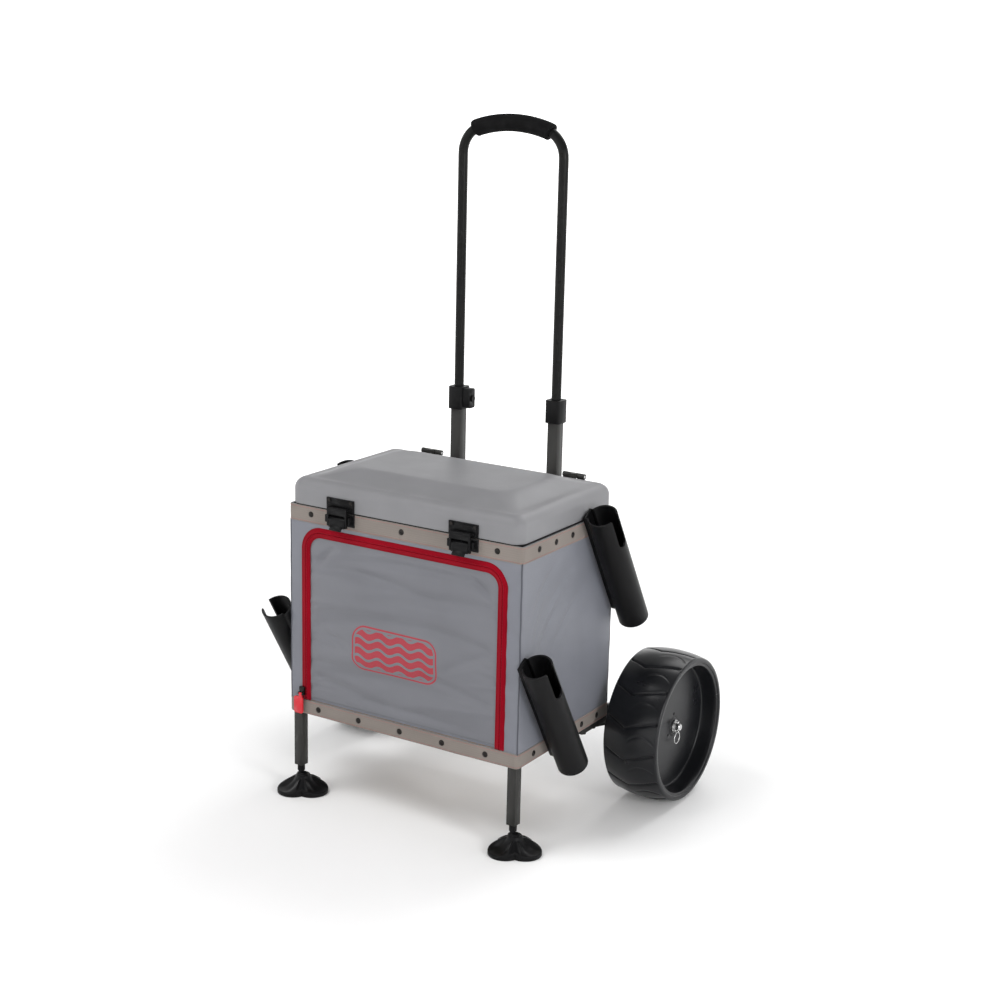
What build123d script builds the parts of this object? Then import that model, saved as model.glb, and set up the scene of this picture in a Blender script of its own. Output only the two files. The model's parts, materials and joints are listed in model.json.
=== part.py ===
from build123d import *
import math
import os

# Fishing seat-box cart: a fabric box on an inner frame of square tube, with a seat lid, two wide wheels, two
# telescoping front legs, four rod holders and a telescoping pull handle.
#
# Millimetres, +Z up, z = 0 on the ground. The front faces -Y and +X is the side on the right from the front.
# Every piece is drawn with y = 0 on the front face of the box, then moved so that the origin lies under the
# centre of the whole cart.

# ---- Box and frame ----
BOX_W = 440.0            # over the fabric
BOX_D = 285.0            # over the fabric
BOX_BOTTOM = 143.0       # underside above the ground
BOX_TOP = 497.0          # rim under the lid
FABRIC = 2.0
SKIN_GAP = 0.3           # fabric to frame tube
TUBE = 19.0              # outside of the square frame tube
TUBE_WALL = 1.2
BOARD_T = 6.0            # base board
BAND_T = 1.0             # webbing
TOP_BAND_H = 27.0
BOTTOM_BAND_H = 24.0
FIT = 0.05               # radial clearance of a running or drilled fit
MOVE_GAP = 0.3           # between pieces that move past each other

# ---- Fasteners ----
BOLT_R = 2.5
HEAD_R = 4.5
HEAD_H = 3.5
STUD_R = 4.8             # press studs on the webbing
STUD_H = 2.2
TOP_STUDS_IN = 44.0      # outermost front studs in from the box's sides
TOP_STUDS = 3
BOTTOM_STUDS_IN = 58.0
BOTTOM_STUDS = 5
SIDE_STUDS = 5
SIDE_STUD_FRONT = 46.0   # first side stud behind the front face
SIDE_STUD_REAR = 39.0    # last one ahead of the rear face

# ---- Front door and zip ----
ZIP_IN = 33.0            # zip centreline in from the box's sides
ZIP_BELOW = 41.0         # and below its rim
ZIP_R = 30.0             # corner radius of the zip
TAPE_W = 7.5             # each half of the zip tape
TAPE_T = 1.5
DOOR_T = 3.0
DOOR_PAD = 2.0           # how far the padding stands out
DOOR_MARGIN = 9.0        # flat rim round the padding
SLIDER_W = 10.0
SLIDER_H = 14.0
PULL_W = 18.0
PULL_L = 29.0
PULL_T = 2.5

# ---- Lid ----
LID_SIDE_IN = 3.0        # lid in from the box's sides
LID_FRONT = -2.0         # lid's front edge, ahead of the front face
LID_REAR_IN = 4.0
LID_LIFT = 2.0           # lid above the rim
LID_SLAB_H = 42.0
LID_SLAB_R = 18.0
LID_PAD_H = 16.0         # raised middle above the slab
LID_PAD_SIDE = 35.0      # raised middle in from the slab's sides
LID_PAD_FRONT = 22.0     # and from its front
LID_PAD_REAR = 34.0      # and from its rear
LID_WALL = 3.5
LINER_T = 3.0
GASKET_T = 1.8
GASKET_W = 14.0
GASKET_IN = 1.0          # in from the lid's edge
PIVOT_BEHIND = 3.0       # lid hinge pin behind the rear fabric
PIVOT_UP = 41.0          # above the lid's underside
HINGE_IN = 80.0          # hinge centre in from the box's sides
KNUCKLE_R = 4.5
PIN_R = 2.0
HINGE_W = 40.0
LEAF_T = 2.5

# ---- Latches ----
LATCH_IN = 104.0         # latch centre from the side of the box
LATCH_W = 53.0
LATCH_PLATE = 2.5
STRIKE_H = 20.0
LEVER_W = 30.0
LEVER_PIVOT_AT = (-8.0, -10.0)   # ahead of the front face, below the rim
BAIL_PIVOT_AT = (-12.1, -18.0)
TRUNNION_R = 1.5
BAIL_ARM = 3.0

# ---- Handle ----
HANDLE_X = 95.0
HANDLE_BEHIND = 14.5     # sleeve centre behind the rear fabric
SLEEVE_UP = 148.0        # sleeve's top above the rim
HANDLE_OD = 16.0
HANDLE_WALL = 1.2
HANDLE_HELD = 85.0       # inner tube left in the sleeve when pulled out
HANDLE_RAIL = 400.0      # straight rail above the sleeve's top
HANDLE_CORNER_R = 45.0
HANDLE_TOP_R = 222.0
GRIP_X = 71.0
GRIP_R = 14.0
COLLAR_WALL = 4.0        # outside the sleeve
COLLAR_BELOW = 25.0      # collar below and above the sleeve's top
COLLAR_ABOVE = 13.0
BOSS_L = 13.0
BUTTON_R = 5.0
BUTTON_PROUD = 3.0
FLANGE_W = 11.5          # saddle's flanges beyond its wrap
SADDLE_H = 18.0
SADDLE_T = 3.0

# ---- Rod holders ----
HOLDER_OD = 50.0
HOLDER_WALL = 3.0
HOLDER_L = 230.0
HOLDER_TILT = 31.5
HOLDER_OUT = 30.0        # tube axis out from the side fabric
HOLDER_FLOOR = 3.0
DRAIN_R = 6.0
NOTCH_W = 20.0
NOTCH_DEPTH = 60.0
WEB_W = 24.0
WEB_STEP = 24.0          # web ends this far above the tube's lower end
WEB_T = 3.7              # back plate
FRONT_MOUTH = (0.0, 173.0)    # behind the front face, above the box bottom
REAR_MOUTH = (99.0, 14.0)     # ahead of the rear face, above the box top

# ---- Wheels and axle ----
WHEEL_R = 126.0
WHEEL_EDGE_R = 119.7
WHEEL_W = 97.0
WHEEL_OUT = 26.5         # inner face of the wheel out from the side fabric
LIP_R = 112.0
RECESS_R = 107.0
RECESS_FOOT_R = 104.0
RECESS_DEPTH = 29.5
DISC_T = 6.0
HUB_R = 15.0
HUB_PROUD = 1.5
HUB_HOLE_R = 2.4
HUB_HOLE_RING = 21.0
AXLE_R = 6.0
AXLE_BEHIND = 58.6       # axle behind the rear fabric
AXLE_STICKS_OUT = 12.0   # beyond the hub
SPACER_R = 10.0
WASHER_R = 11.0
WASHER_T = 2.0
COTTER_R = 1.6
COTTER_EYE_R = 2.6
RING_R = 9.5
RING_WIRE_R = 0.9
BRACKET_T = 12.0
BRACKET_IN = 6.0         # bracket's outer face in from the side fabric
BRACKET_FLANGE_H = 14.0
BRACKET_FLANGE_L = 72.0
BRACKET_RISE = 14.0      # how far the arm climbs behind the box
BRACKET_BOSS_R = 16.0
BRACKET_BOLTS = (14.0, 46.0)  # from the flange's front end

# ---- Front legs and feet ----
LEG_WALL = 1.2
LEG_BOTTOM = 45.5
LEG_HELD = 52.5          # leg inside its post
INSERT_H = 20.0
STEM_R = 6.2
NECK_R = 4.5
BALL_R = 9.0
BALL_Z = 24.0
FOOT_R = 45.0
FOOT_HUB_R = 13.0
FOOT_HUB_TOP = 29.0
FOOT_HUB_BOTTOM = 6.0
LOBE_R = 27.0
LOBE_ANGLES = (2.0, 122.0, 242.0)

# ---- Worked out from the sizes above ----
HALF_W = BOX_W / 2
ZIP_X = HALF_W - ZIP_IN
ZIP_TOP = BOX_TOP - ZIP_BELOW
DOOR_BOTTOM = BOX_BOTTOM + TUBE + BOARD_T
LID_W = BOX_W - 2 * LID_SIDE_IN
LID_BACK = BOX_D - LID_REAR_IN
LID_BOTTOM = BOX_TOP + LID_LIFT
PIVOT_Z = LID_BOTTOM + PIVOT_UP
HINGE_X = HALF_W - HINGE_IN
LEVER_PIVOT = (LEVER_PIVOT_AT[0], BOX_TOP + LEVER_PIVOT_AT[1])
BAIL_PIVOT = (BAIL_PIVOT_AT[0], BOX_TOP + BAIL_PIVOT_AT[1])
SLEEVE = HANDLE_OD + 2 * (MOVE_GAP + TUBE_WALL)
SLEEVE_TOP = BOX_TOP + SLEEVE_UP
HANDLE_LOWER = SLEEVE_TOP - HANDLE_HELD
HANDLE_BEND = SLEEVE_TOP + HANDLE_RAIL
COLLAR = SLEEVE + 2 * COLLAR_WALL
COLLAR_BOTTOM = SLEEVE_TOP - COLLAR_BELOW
COLLAR_TOP = SLEEVE_TOP + COLLAR_ABOVE
SADDLE_W = SLEEVE + 2 * (SADDLE_T + FLANGE_W)
LEG = TUBE - 2 * (TUBE_WALL + MOVE_GAP)
LEG_L = BOX_BOTTOM + LEG_HELD - LEG_BOTTOM
POST_IN = FABRIC + SKIN_GAP + TUBE / 2
POST_X = HALF_W - POST_IN
POST_FRONT_Y = POST_IN
POST_REAR_Y = BOX_D - POST_IN
RAIL_BOTTOM_Z = BOX_BOTTOM + TUBE / 2
RAIL_TOP_Z = BOX_TOP - TUBE / 2
BAND_X = HALF_W + BAND_T
LATCH_X = HALF_W - LATCH_IN
PIVOT_Y = BOX_D + PIVOT_BEHIND
HANDLE_Y = BOX_D + HANDLE_BEHIND
HOLDER_X = HALF_W + HOLDER_OUT
HOLDER_R = HOLDER_OD / 2
HOLDER_BORE_R = HOLDER_R - HOLDER_WALL
FRONT_MOUTH_YZ = (FRONT_MOUTH[0], BOX_BOTTOM + FRONT_MOUTH[1])
REAR_MOUTH_YZ = (BOX_D - REAR_MOUTH[0], BOX_TOP + REAR_MOUTH[1])
AXLE_Y = BOX_D + AXLE_BEHIND
AXLE_Z = WHEEL_R
WHEEL_IN_X = HALF_W + WHEEL_OUT
WHEEL_OUT_X = WHEEL_IN_X + WHEEL_W
DISC_X = WHEEL_OUT_X - RECESS_DEPTH
HUB_X = DISC_X + HUB_PROUD
COTTER_X = HUB_X + WASHER_T + 2 * MOVE_GAP + COTTER_EYE_R + RING_WIRE_R
AXLE_END_X = HUB_X + AXLE_STICKS_OUT
EYE_Z = AXLE_Z - AXLE_R - RING_WIRE_R - COTTER_EYE_R
RING_GAP = 0.15          # slack of the ring in its eye
RING_TOP_Z = EYE_Z - COTTER_EYE_R + 2 * RING_WIRE_R + RING_GAP
BRACKET_X = (HALF_W - BRACKET_IN - BRACKET_T, HALF_W - BRACKET_IN)
BRACKET_FRONT_Y = BOX_D - BRACKET_FLANGE_L
SLIDER_X = -ZIP_X - 1.0 - SLIDER_W / 2
SLIDER_Z = DOOR_BOTTOM + 8.0
SLIDER_Y = (-6.0, -TAPE_T - MOVE_GAP)
PULL_PIVOT = (-8.8, SLIDER_Z + 3.0)
DOOR_GAP = 0.6           # door edge to the opening
LOBE_OUT = FOOT_R - LOBE_R
FOOT_REACH = LOBE_R + max(-LOBE_OUT * math.sin(math.radians(angle)) for angle in LOBE_ANGLES)
BOX_FRONT_Y = -((AXLE_Y + WHEEL_R) + (POST_FRONT_Y - FOOT_REACH)) / 2


# ---- Shapes used more than once ----
def block(x0, x1, y0, y1, z0, z1):
    """A box between two corners."""
    centre = Pos((x0 + x1) / 2, (y0 + y1) / 2, (z0 + z1) / 2)
    return centre * Box(abs(x1 - x0), abs(y1 - y0), abs(z1 - z0))


def rod_x(x0, x1, y, z, radius):
    """A cylinder along X."""
    return Pos((x0 + x1) / 2, y, z) * Rot(0, 90, 0) * Cylinder(radius, abs(x1 - x0))


def rod_y(x, y0, y1, z, radius):
    """A cylinder along Y."""
    return Pos(x, (y0 + y1) / 2, z) * Rot(90, 0, 0) * Cylinder(radius, abs(y1 - y0))


def rod_z(x, y, z0, z1, radius):
    """A cylinder along Z."""
    return Pos(x, y, (z0 + z1) / 2) * Cylinder(radius, abs(z1 - z0))


def prism_x(points, x0, x1):
    """A (y, z) outline pulled along X from x0 to x1."""
    face = make_face(Plane.YZ * Polyline(*points, close=True))
    return Pos(min(x0, x1), 0, 0) * extrude(face, abs(x1 - x0), dir=(1, 0, 0))


def plate_y(face, y0, y1):
    """An (x, z) outline as a plate from y0 back to y1."""
    return Pos(0, y0, 0) * extrude(Plane.XZ * face, y1 - y0, dir=(0, 1, 0))


def square_tube(length, size, wall):
    """A square tube along Z, centred."""
    return Box(size, size, length) - Box(size - 2 * wall, size - 2 * wall, length)


def sides(shape):
    """A shape on the +X side and its mirror image."""
    return [shape, mirror(shape, about=Plane.YZ)]


def joined(shapes):
    """One solid out of shapes that touch or overlap."""
    whole = shapes[0]
    for shape in shapes[1:]:
        whole = whole + shape
    return whole


def spaced(first, last, count):
    """Evenly spaced places from first to last."""
    return [first + (last - first) * step / (count - 1) for step in range(count)]


def cut(shape, tools):
    """A shape with each tool taken out of it."""
    for tool in tools:
        shape = shape - tool
    return shape


# ---- Bolts of the frame ----
def holder_line(mouth, along):
    """The point (y, z) on a rod holder's axis, so far down from its mouth."""
    tilt = math.radians(HOLDER_TILT)
    return mouth[0] + along * math.sin(tilt), mouth[1] - along * math.cos(tilt)


def holder_bolt_points():
    """Where the rod holders' axes cross the frame's posts and rails, as (y, z)."""
    tilt = math.radians(HOLDER_TILT)
    front_post = (POST_FRONT_Y - FRONT_MOUTH_YZ[0]) / math.sin(tilt)
    bottom_rail = (FRONT_MOUTH_YZ[1] - RAIL_BOTTOM_Z) / math.cos(tilt)
    top_rail = (REAR_MOUTH_YZ[1] - RAIL_TOP_Z) / math.cos(tilt)
    rear_post = (POST_REAR_Y - REAR_MOUTH_YZ[0]) / math.sin(tilt)
    return [holder_line(FRONT_MOUTH_YZ, front_post), holder_line(FRONT_MOUTH_YZ, bottom_rail),
            holder_line(REAR_MOUTH_YZ, top_rail), holder_line(REAR_MOUTH_YZ, rear_post)]


def saddle_bolt_points():
    """The handle saddles' bolts on the rear face, as (x, z)."""
    reach = SLEEVE / 2 + SADDLE_T + FLANGE_W / 2
    return [(HANDLE_X + side * reach, z) for z in (RAIL_BOTTOM_Z, RAIL_TOP_Z) for side in (-1, 1)]


def bracket_bolt_ys():
    """The axle brackets' bolts along the side rails."""
    return [BRACKET_FRONT_Y + step for step in BRACKET_BOLTS]


def frame_bolts(grow=0.0):
    """The shanks and heads of every bolt in the frame, or their holes where grow is more than 0."""
    shank = BOLT_R + grow
    head = HEAD_R + grow
    inner_x = POST_X - TUBE / 2
    bracket_x = sum(BRACKET_X) / 2
    right = []
    for y, z in holder_bolt_points():
        tip = BAND_X + WEB_T - MOVE_GAP + grow
        right.append(rod_x(inner_x, tip, y, z, shank) + rod_x(inner_x - HEAD_H, inner_x, y, z, head))
    for x, z in saddle_bolt_points():
        face = BOX_D + BAND_T + SADDLE_T
        right.append(rod_y(x, POST_REAR_Y, face, z, shank) + rod_y(x, face, face + HEAD_H, z, head))
    for y in bracket_bolt_ys():
        face = BOX_BOTTOM - BRACKET_FLANGE_H
        right.append(rod_z(bracket_x, y, face, RAIL_BOTTOM_Z, shank)
                     + rod_z(bracket_x, y, face - HEAD_H, face, head))
    return [bolt for shape in right for bolt in sides(shape)]


def drilled(shape):
    """A shape with the frame bolts' holes through it."""
    return cut(shape, frame_bolts(FIT))


# ---- Frame ----
def post_pair(y):
    """The two upright tubes at one depth."""
    height = BOX_TOP - BOX_BOTTOM
    post = Pos(POST_X, y, (BOX_TOP + BOX_BOTTOM) / 2) * square_tube(height, TUBE, TUBE_WALL)
    return sides(drilled(post))


def side_rails(z):
    """The two rails along the box's sides at one height."""
    length = POST_REAR_Y - POST_FRONT_Y - TUBE
    tube = Rot(90, 0, 0) * square_tube(length, TUBE, TUBE_WALL)
    return sides(drilled(Pos(POST_X, BOX_D / 2, z) * tube))


def cross_rails(z):
    """The front and rear rails at one height."""
    length = 2 * POST_X - TUBE
    tube = Rot(0, 90, 0) * square_tube(length, TUBE, TUBE_WALL)
    return [drilled(Pos(0, y, z) * tube) for y in (POST_FRONT_Y, POST_REAR_Y)]


def base_board():
    """The board on the bottom rails, notched round the posts."""
    edge = FABRIC + SKIN_GAP
    bottom = BOX_BOTTOM + TUBE
    board = block(-HALF_W + edge, HALF_W - edge, edge, BOX_D - edge, bottom, bottom + BOARD_T)
    size = TUBE + 2 * SKIN_GAP
    notch = Box(size, size, 4 * BOARD_T)
    for x in (-POST_X, POST_X):
        for y in (POST_FRONT_Y, POST_REAR_Y):
            board = board - Pos(x, y, bottom) * notch
    return board


# ---- Fabric box ----
def arch(half_width, bottom, top, radius):
    """A door outline: square below, two rounded corners above."""
    face = Pos(0, (bottom + top) / 2) * Rectangle(2 * half_width, top - bottom)
    return fillet(face.vertices().group_by(Axis.Y)[-1], radius)


def box_front():
    """The front wall round the door opening."""
    wall = Pos(0, (BOX_BOTTOM + BOX_TOP) / 2) * Rectangle(BOX_W, BOX_TOP - BOX_BOTTOM)
    opening = arch(ZIP_X, DOOR_BOTTOM, ZIP_TOP, ZIP_R)
    return plate_y(wall - opening, 0, FABRIC)


def box_side():
    """The right side wall."""
    return drilled(block(HALF_W - FABRIC, HALF_W, FABRIC, BOX_D - FABRIC, BOX_BOTTOM, BOX_TOP))


def box_rear():
    """The rear wall."""
    return drilled(block(-HALF_W, HALF_W, BOX_D - FABRIC, BOX_D, BOX_BOTTOM, BOX_TOP))


def band(z0, z1):
    """A ring of webbing round the box."""
    outer = block(-BAND_X, BAND_X, -BAND_T, BOX_D + BAND_T, z0, z1)
    return drilled(outer - block(-HALF_W, HALF_W, 0, BOX_D, z0, z1))


def press_studs():
    """The domed studs along both bands, left out where a rod holder or a bracket covers the webbing."""
    dome = fillet(Cylinder(STUD_R, STUD_H).edges().group_by(Axis.Z)[-1], STUD_H * 0.6)
    top_z = BOX_TOP - TOP_BAND_H / 2 + 1.0
    bottom_z = BOX_BOTTOM + BOTTOM_BAND_H / 2
    out = BAND_X + STUD_H / 2
    top_x = HALF_W - TOP_STUDS_IN
    bottom_x = HALF_W - BOTTOM_STUDS_IN
    studs = []
    for z, reach, count in ((top_z, top_x, TOP_STUDS), (bottom_z, bottom_x, BOTTOM_STUDS)):
        for x in spaced(-reach, reach, count):
            studs.append(Pos(x, -BAND_T - STUD_H / 2, z) * Rot(90, 0, 0) * dome)
    for x in (-top_x, top_x):
        for z in (top_z, bottom_z):
            studs.append(Pos(x, BOX_D + BAND_T + STUD_H / 2, z) * Rot(-90, 0, 0) * dome)
    clear = WEB_W / 2 / math.cos(math.radians(HOLDER_TILT)) + STUD_R + 1.0
    covered = {top_z: holder_bolt_points()[2][0], bottom_z: holder_bolt_points()[1][0]}
    for z, middle in covered.items():
        for y in spaced(SIDE_STUD_FRONT, BOX_D - SIDE_STUD_REAR, SIDE_STUDS):
            if abs(y - middle) > clear:
                studs += sides(Pos(out, y, z) * Rot(0, 90, 0) * dome)
    return studs


def zip_tape(inside, outside):
    """A half of the zip's tape, from one offset of the zip's line to another."""
    bottom = DOOR_BOTTOM + MOVE_GAP
    outer = arch(ZIP_X + outside, bottom, ZIP_TOP + outside, ZIP_R + outside)
    inner = arch(ZIP_X + inside, bottom, ZIP_TOP + inside, ZIP_R + inside)
    return plate_y(outer - inner, -TAPE_T, 0)


def door_panel():
    """The door: a thin panel that fills the opening, with padding that stands out."""
    edge = arch(ZIP_X - DOOR_GAP, DOOR_BOTTOM + MOVE_GAP, ZIP_TOP - DOOR_GAP, ZIP_R - DOOR_GAP)
    inset = DOOR_MARGIN
    pad = arch(ZIP_X - inset, DOOR_BOTTOM + inset, ZIP_TOP - inset, ZIP_R - inset)
    return plate_y(edge, 0, DOOR_T) + plate_y(pad, -DOOR_PAD, 0)


def zip_slider():
    """The slider on the left run, with a bar for its pull tag."""
    x0 = SLIDER_X - SLIDER_W / 2
    x1 = SLIDER_X + SLIDER_W / 2
    body = block(x0, x1, SLIDER_Y[0], SLIDER_Y[1], SLIDER_Z, SLIDER_Z + SLIDER_H)
    post = 1.6
    y, z = PULL_PIVOT
    cheeks = [block(x, x + post, y - 1.4, SLIDER_Y[0], z - 2.0, z + 2.5) for x in (x0, x1 - post)]
    return joined([body, *cheeks, rod_x(x0 + post, x1 - post, y, z, 1.0)])


def zip_pull():
    """The tag that hangs from the slider's bar."""
    y, z = PULL_PIVOT
    lug = block(SLIDER_X - 3.0, SLIDER_X + 3.0, y - PULL_T / 2, y + PULL_T / 2, z - 5.0, z + 2.0)
    right = SLIDER_X + SLIDER_W / 2
    tag = block(right - PULL_W, right, y - PULL_T / 2, y + PULL_T / 2, z - 5.0 - PULL_L, z - 5.0)
    tag = fillet(tag.edges().filter_by(Axis.Y), 4.0)
    return tag + lug - rod_x(right - SLIDER_W, right, y, z, 1.0 + FIT)


# ---- Lid ----
def lid_block(side, front, rear, z0, z1):
    """A block set in from the lid's outline by its own distance at the sides, front and rear."""
    return block(-LID_W / 2 + side, LID_W / 2 - side, LID_FRONT + front, LID_BACK - rear, z0, z1)


def rounded(slab, corner, top_edge):
    """A slab with rounded corners and a rounded top edge."""
    slab = fillet(slab.edges().filter_by(Axis.Z), corner)
    return fillet(slab.faces().sort_by(Axis.Z)[-1].edges(), top_edge)


def lid_shell():
    """The moulded seat: a rounded slab with a raised middle, hollow below."""
    slab_top = LID_BOTTOM + LID_SLAB_H
    pad_top = slab_top + LID_PAD_H
    pad_edge = LID_PAD_H * 0.6
    slab = rounded(lid_block(0, 0, 0, LID_BOTTOM, slab_top), LID_SLAB_R, LID_SLAB_R - 1.0)
    pad = lid_block(LID_PAD_SIDE, LID_PAD_FRONT, LID_PAD_REAR, slab_top - 4.0, pad_top)
    pad = rounded(pad, LID_SLAB_R, pad_edge)
    hollow = lid_block(LID_WALL, LID_WALL, LID_WALL, LID_BOTTOM, slab_top - LID_SLAB_R)
    hollow = fillet(hollow.edges().filter_by(Axis.Z), LID_SLAB_R - LID_WALL)
    under = lid_block(LID_PAD_SIDE + pad_edge, LID_PAD_FRONT + pad_edge, LID_PAD_REAR + pad_edge,
                      slab_top - LID_SLAB_R - 1.0, pad_top - LID_WALL)
    return slab + pad - hollow - under


def lid_liner():
    """The panel that closes the lid's underside."""
    edge = LID_WALL + FIT
    liner = lid_block(edge, edge, edge, LID_BOTTOM, LID_BOTTOM + LINER_T)
    return fillet(liner.edges().filter_by(Axis.Z), LID_SLAB_R - LID_WALL)


def lid_gasket():
    """The rubber ring under the lid's rim."""
    bottom = LID_BOTTOM - GASKET_T
    inner = GASKET_IN + GASKET_W
    outer = lid_block(GASKET_IN, GASKET_IN, GASKET_IN, bottom, LID_BOTTOM)
    outer = fillet(outer.edges().filter_by(Axis.Z), LID_SLAB_R - GASKET_IN)
    return outer - lid_block(inner, inner, inner, bottom, LID_BOTTOM)


def hinge_brackets():
    """The frame's half of each lid hinge: a plate over the rear wall with two knuckles."""
    face = BOX_D + BAND_T
    third = HINGE_W / 3
    x0 = HINGE_X - HINGE_W / 2
    x1 = HINGE_X + HINGE_W / 2
    pieces = [block(x0, x1, face, face + LEAF_T, BOX_TOP - TOP_BAND_H, PIVOT_Z - KNUCKLE_R - 1.0)]
    for start in (x0, x1 - third):
        pieces.append(block(start, start + third, face, face + LEAF_T, PIVOT_Z - KNUCKLE_R - 1.0, PIVOT_Z))
        pieces.append(rod_x(start, start + third, PIVOT_Y, PIVOT_Z, KNUCKLE_R))
    bracket = joined(pieces) - rod_x(x0, x1, PIVOT_Y, PIVOT_Z, PIN_R)
    return sides(bracket)


def hinge_pins():
    """The pins fixed in the brackets' knuckles."""
    return sides(rod_x(HINGE_X - HINGE_W / 2, HINGE_X + HINGE_W / 2, PIVOT_Y, PIVOT_Z, PIN_R))


def hinge_leaves():
    """The lid's half of each hinge: a plate on the lid's rear face and an arm to the middle knuckle."""
    half = HINGE_W / 6 - MOVE_GAP
    plate = block(HINGE_X - HINGE_W / 2, HINGE_X + HINGE_W / 2, LID_BACK, LID_BACK + LEAF_T,
                  LID_BOTTOM + 4.0, LID_BOTTOM + 24.0)
    stalk = block(HINGE_X - half, HINGE_X + half, LID_BACK, LID_BACK + LEAF_T, LID_BOTTOM + 24.0, PIVOT_Z)
    arm = block(HINGE_X - half, HINGE_X + half, LID_BACK, PIVOT_Y, PIVOT_Z, PIVOT_Z + KNUCKLE_R)
    knuckle = rod_x(HINGE_X - half, HINGE_X + half, PIVOT_Y, PIVOT_Z, KNUCKLE_R)
    leaf = joined([plate, stalk, arm, knuckle])
    return sides(leaf - rod_x(HINGE_X - half, HINGE_X + half, PIVOT_Y, PIVOT_Z, PIN_R + FIT))


# ---- Latches ----
def latch_bases():
    """The plates on the front webbing, each with two ears that carry its lever."""
    y, z = LEVER_PIVOT
    face = -BAND_T
    back = face - LATCH_PLATE
    half = LATCH_W / 2
    base = block(LATCH_X - half, LATCH_X + half, back, face, z - 10.5, BOX_TOP - MOVE_GAP)
    ears = []
    for x in (LATCH_X - 24.0, LATCH_X + 20.0):
        ears.append(block(x, x + 4.0, y - 4.0, back, z - 6.0, z + 6.0))
    hole = rod_x(LATCH_X - half, LATCH_X + half, y, z, TRUNNION_R + FIT)
    return sides(joined([base, *ears]) - hole)


def latch_lever():
    """The right latch's lever: a body between the ears, a finger tab below, and pins for ears and bail."""
    y, z = LEVER_PIVOT
    half = LEVER_W / 2
    body = prism_x([(y + 2.0, z + 3.0), (y - 3.0, z + 4.0), (y - 6.0, z + 1.0), (y - 7.0, z - 12.0),
                    (y - 3.0, z - 12.0), (y + 2.0, z - 6.0)], LATCH_X - half, LATCH_X + half)
    tab = prism_x([(y - 3.0, z - 9.0), (y - 7.0, z - 9.0), (y - 11.5, z - 15.0), (y - 9.5, z - 17.0)],
                  LATCH_X - half + 4.0, LATCH_X + half - 4.0)
    trunnion = rod_x(LATCH_X - 23.5, LATCH_X + 23.5, y, z, TRUNNION_R)
    bail_pin = rod_x(LATCH_X - 18.8, LATCH_X + 18.8, *BAIL_PIVOT, TRUNNION_R - 0.25)
    return joined([body, tab, trunnion, bail_pin])


def latch_bail():
    """The right latch's bail: two arms outside the lever and a plate in front of the strike."""
    y, z = BAIL_PIVOT
    y0 = y - 1.9
    y1 = y + 1.4
    inner = LEVER_W / 2 + 1.0
    outer = inner + BAIL_ARM
    top = LID_BOTTOM + 8.0
    arms = [block(LATCH_X + a, LATCH_X + b, y0, y1, z - 3.0, top)
            for a, b in ((-outer, -inner), (inner, outer))]
    plate = block(LATCH_X - inner, LATCH_X + inner, y0, y1, LID_BOTTOM - 4.0, top)
    nose = block(LATCH_X - outer, LATCH_X + outer, y1, y1 + 1.2, top - 3.5, top)
    pin = rod_x(LATCH_X - outer, LATCH_X + outer, y, z, TRUNNION_R - 0.25 + FIT)
    return joined([*arms, plate, nose]) - pin


def latch_strikes():
    """The plates on the lid's front, each with a shallow ridge."""
    half = LATCH_W / 2
    z0 = LID_BOTTOM + 0.5
    plate = block(LATCH_X - half, LATCH_X + half, LID_FRONT - LATCH_PLATE, LID_FRONT, z0, z0 + STRIKE_H)
    ridge = block(LATCH_X - 20.0, LATCH_X + 20.0, LID_FRONT - LATCH_PLATE - 1.4, LID_FRONT - LATCH_PLATE,
                  z0 + 2.5, z0 + 6.0)
    strike = plate + ridge
    for shape in strike_screws():
        strike = strike - shape
    return sides(strike)


def strike_screws():
    """The two screws at the top of the right latch's strike."""
    z = LID_BOTTOM + STRIKE_H - 3.5
    reach = LATCH_W / 2 - 5.0
    face = LID_FRONT - LATCH_PLATE
    return [rod_y(LATCH_X + side * reach, face - 1.0, face + 1.2, z, 3.0)
            + rod_y(LATCH_X + side * reach, face + 1.2, LID_FRONT, z, 1.5) for side in (-1, 1)]


# ---- Handle ----
def handle_path(limit_x, lower):
    """The handle tube's centreline out to limit_x on the bends, or down the rails to lower."""
    corner = Vector(HANDLE_X - HANDLE_CORNER_R, 0, HANDLE_BEND)
    lean = math.asin(corner.X / (HANDLE_TOP_R - HANDLE_CORNER_R))
    centre_z = HANDLE_BEND - (HANDLE_TOP_R - HANDLE_CORNER_R) * math.cos(lean)

    def on_corner(angle):
        return corner + HANDLE_CORNER_R * Vector(math.sin(angle), 0, math.cos(angle))

    ends = Vector(HANDLE_TOP_R * math.sin(lean), 0, centre_z + HANDLE_TOP_R * math.cos(lean))
    crown = Vector(0, 0, centre_z + HANDLE_TOP_R)
    stop = math.pi / 2 if lower else math.asin((limit_x - corner.X) / HANDLE_CORNER_R)
    mid = on_corner((lean + stop) / 2)
    last = on_corner(stop)

    def other(point):
        return Vector(-point.X, 0, point.Z)

    edges = [ThreePointArc(other(ends), crown, ends), ThreePointArc(ends, mid, last),
             ThreePointArc(other(last), other(mid), other(ends))]
    if lower:
        foot = Vector(HANDLE_X, 0, lower)
        edges += [Line(last, foot), Line(other(foot), other(last))]
    return Pos(0, HANDLE_Y, 0) * Wire(edges)


def swept_ring(path, outer, inner):
    """A round tube along a path."""
    start = Plane(origin=path @ 0, z_dir=path % 0)
    return sweep(start * (Circle(outer) - Circle(inner)), path=path, transition=Transition.RIGHT)


def handle_tube():
    """The sliding U tube."""
    return swept_ring(handle_path(HANDLE_X, HANDLE_LOWER), HANDLE_OD / 2, HANDLE_OD / 2 - HANDLE_WALL)


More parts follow.
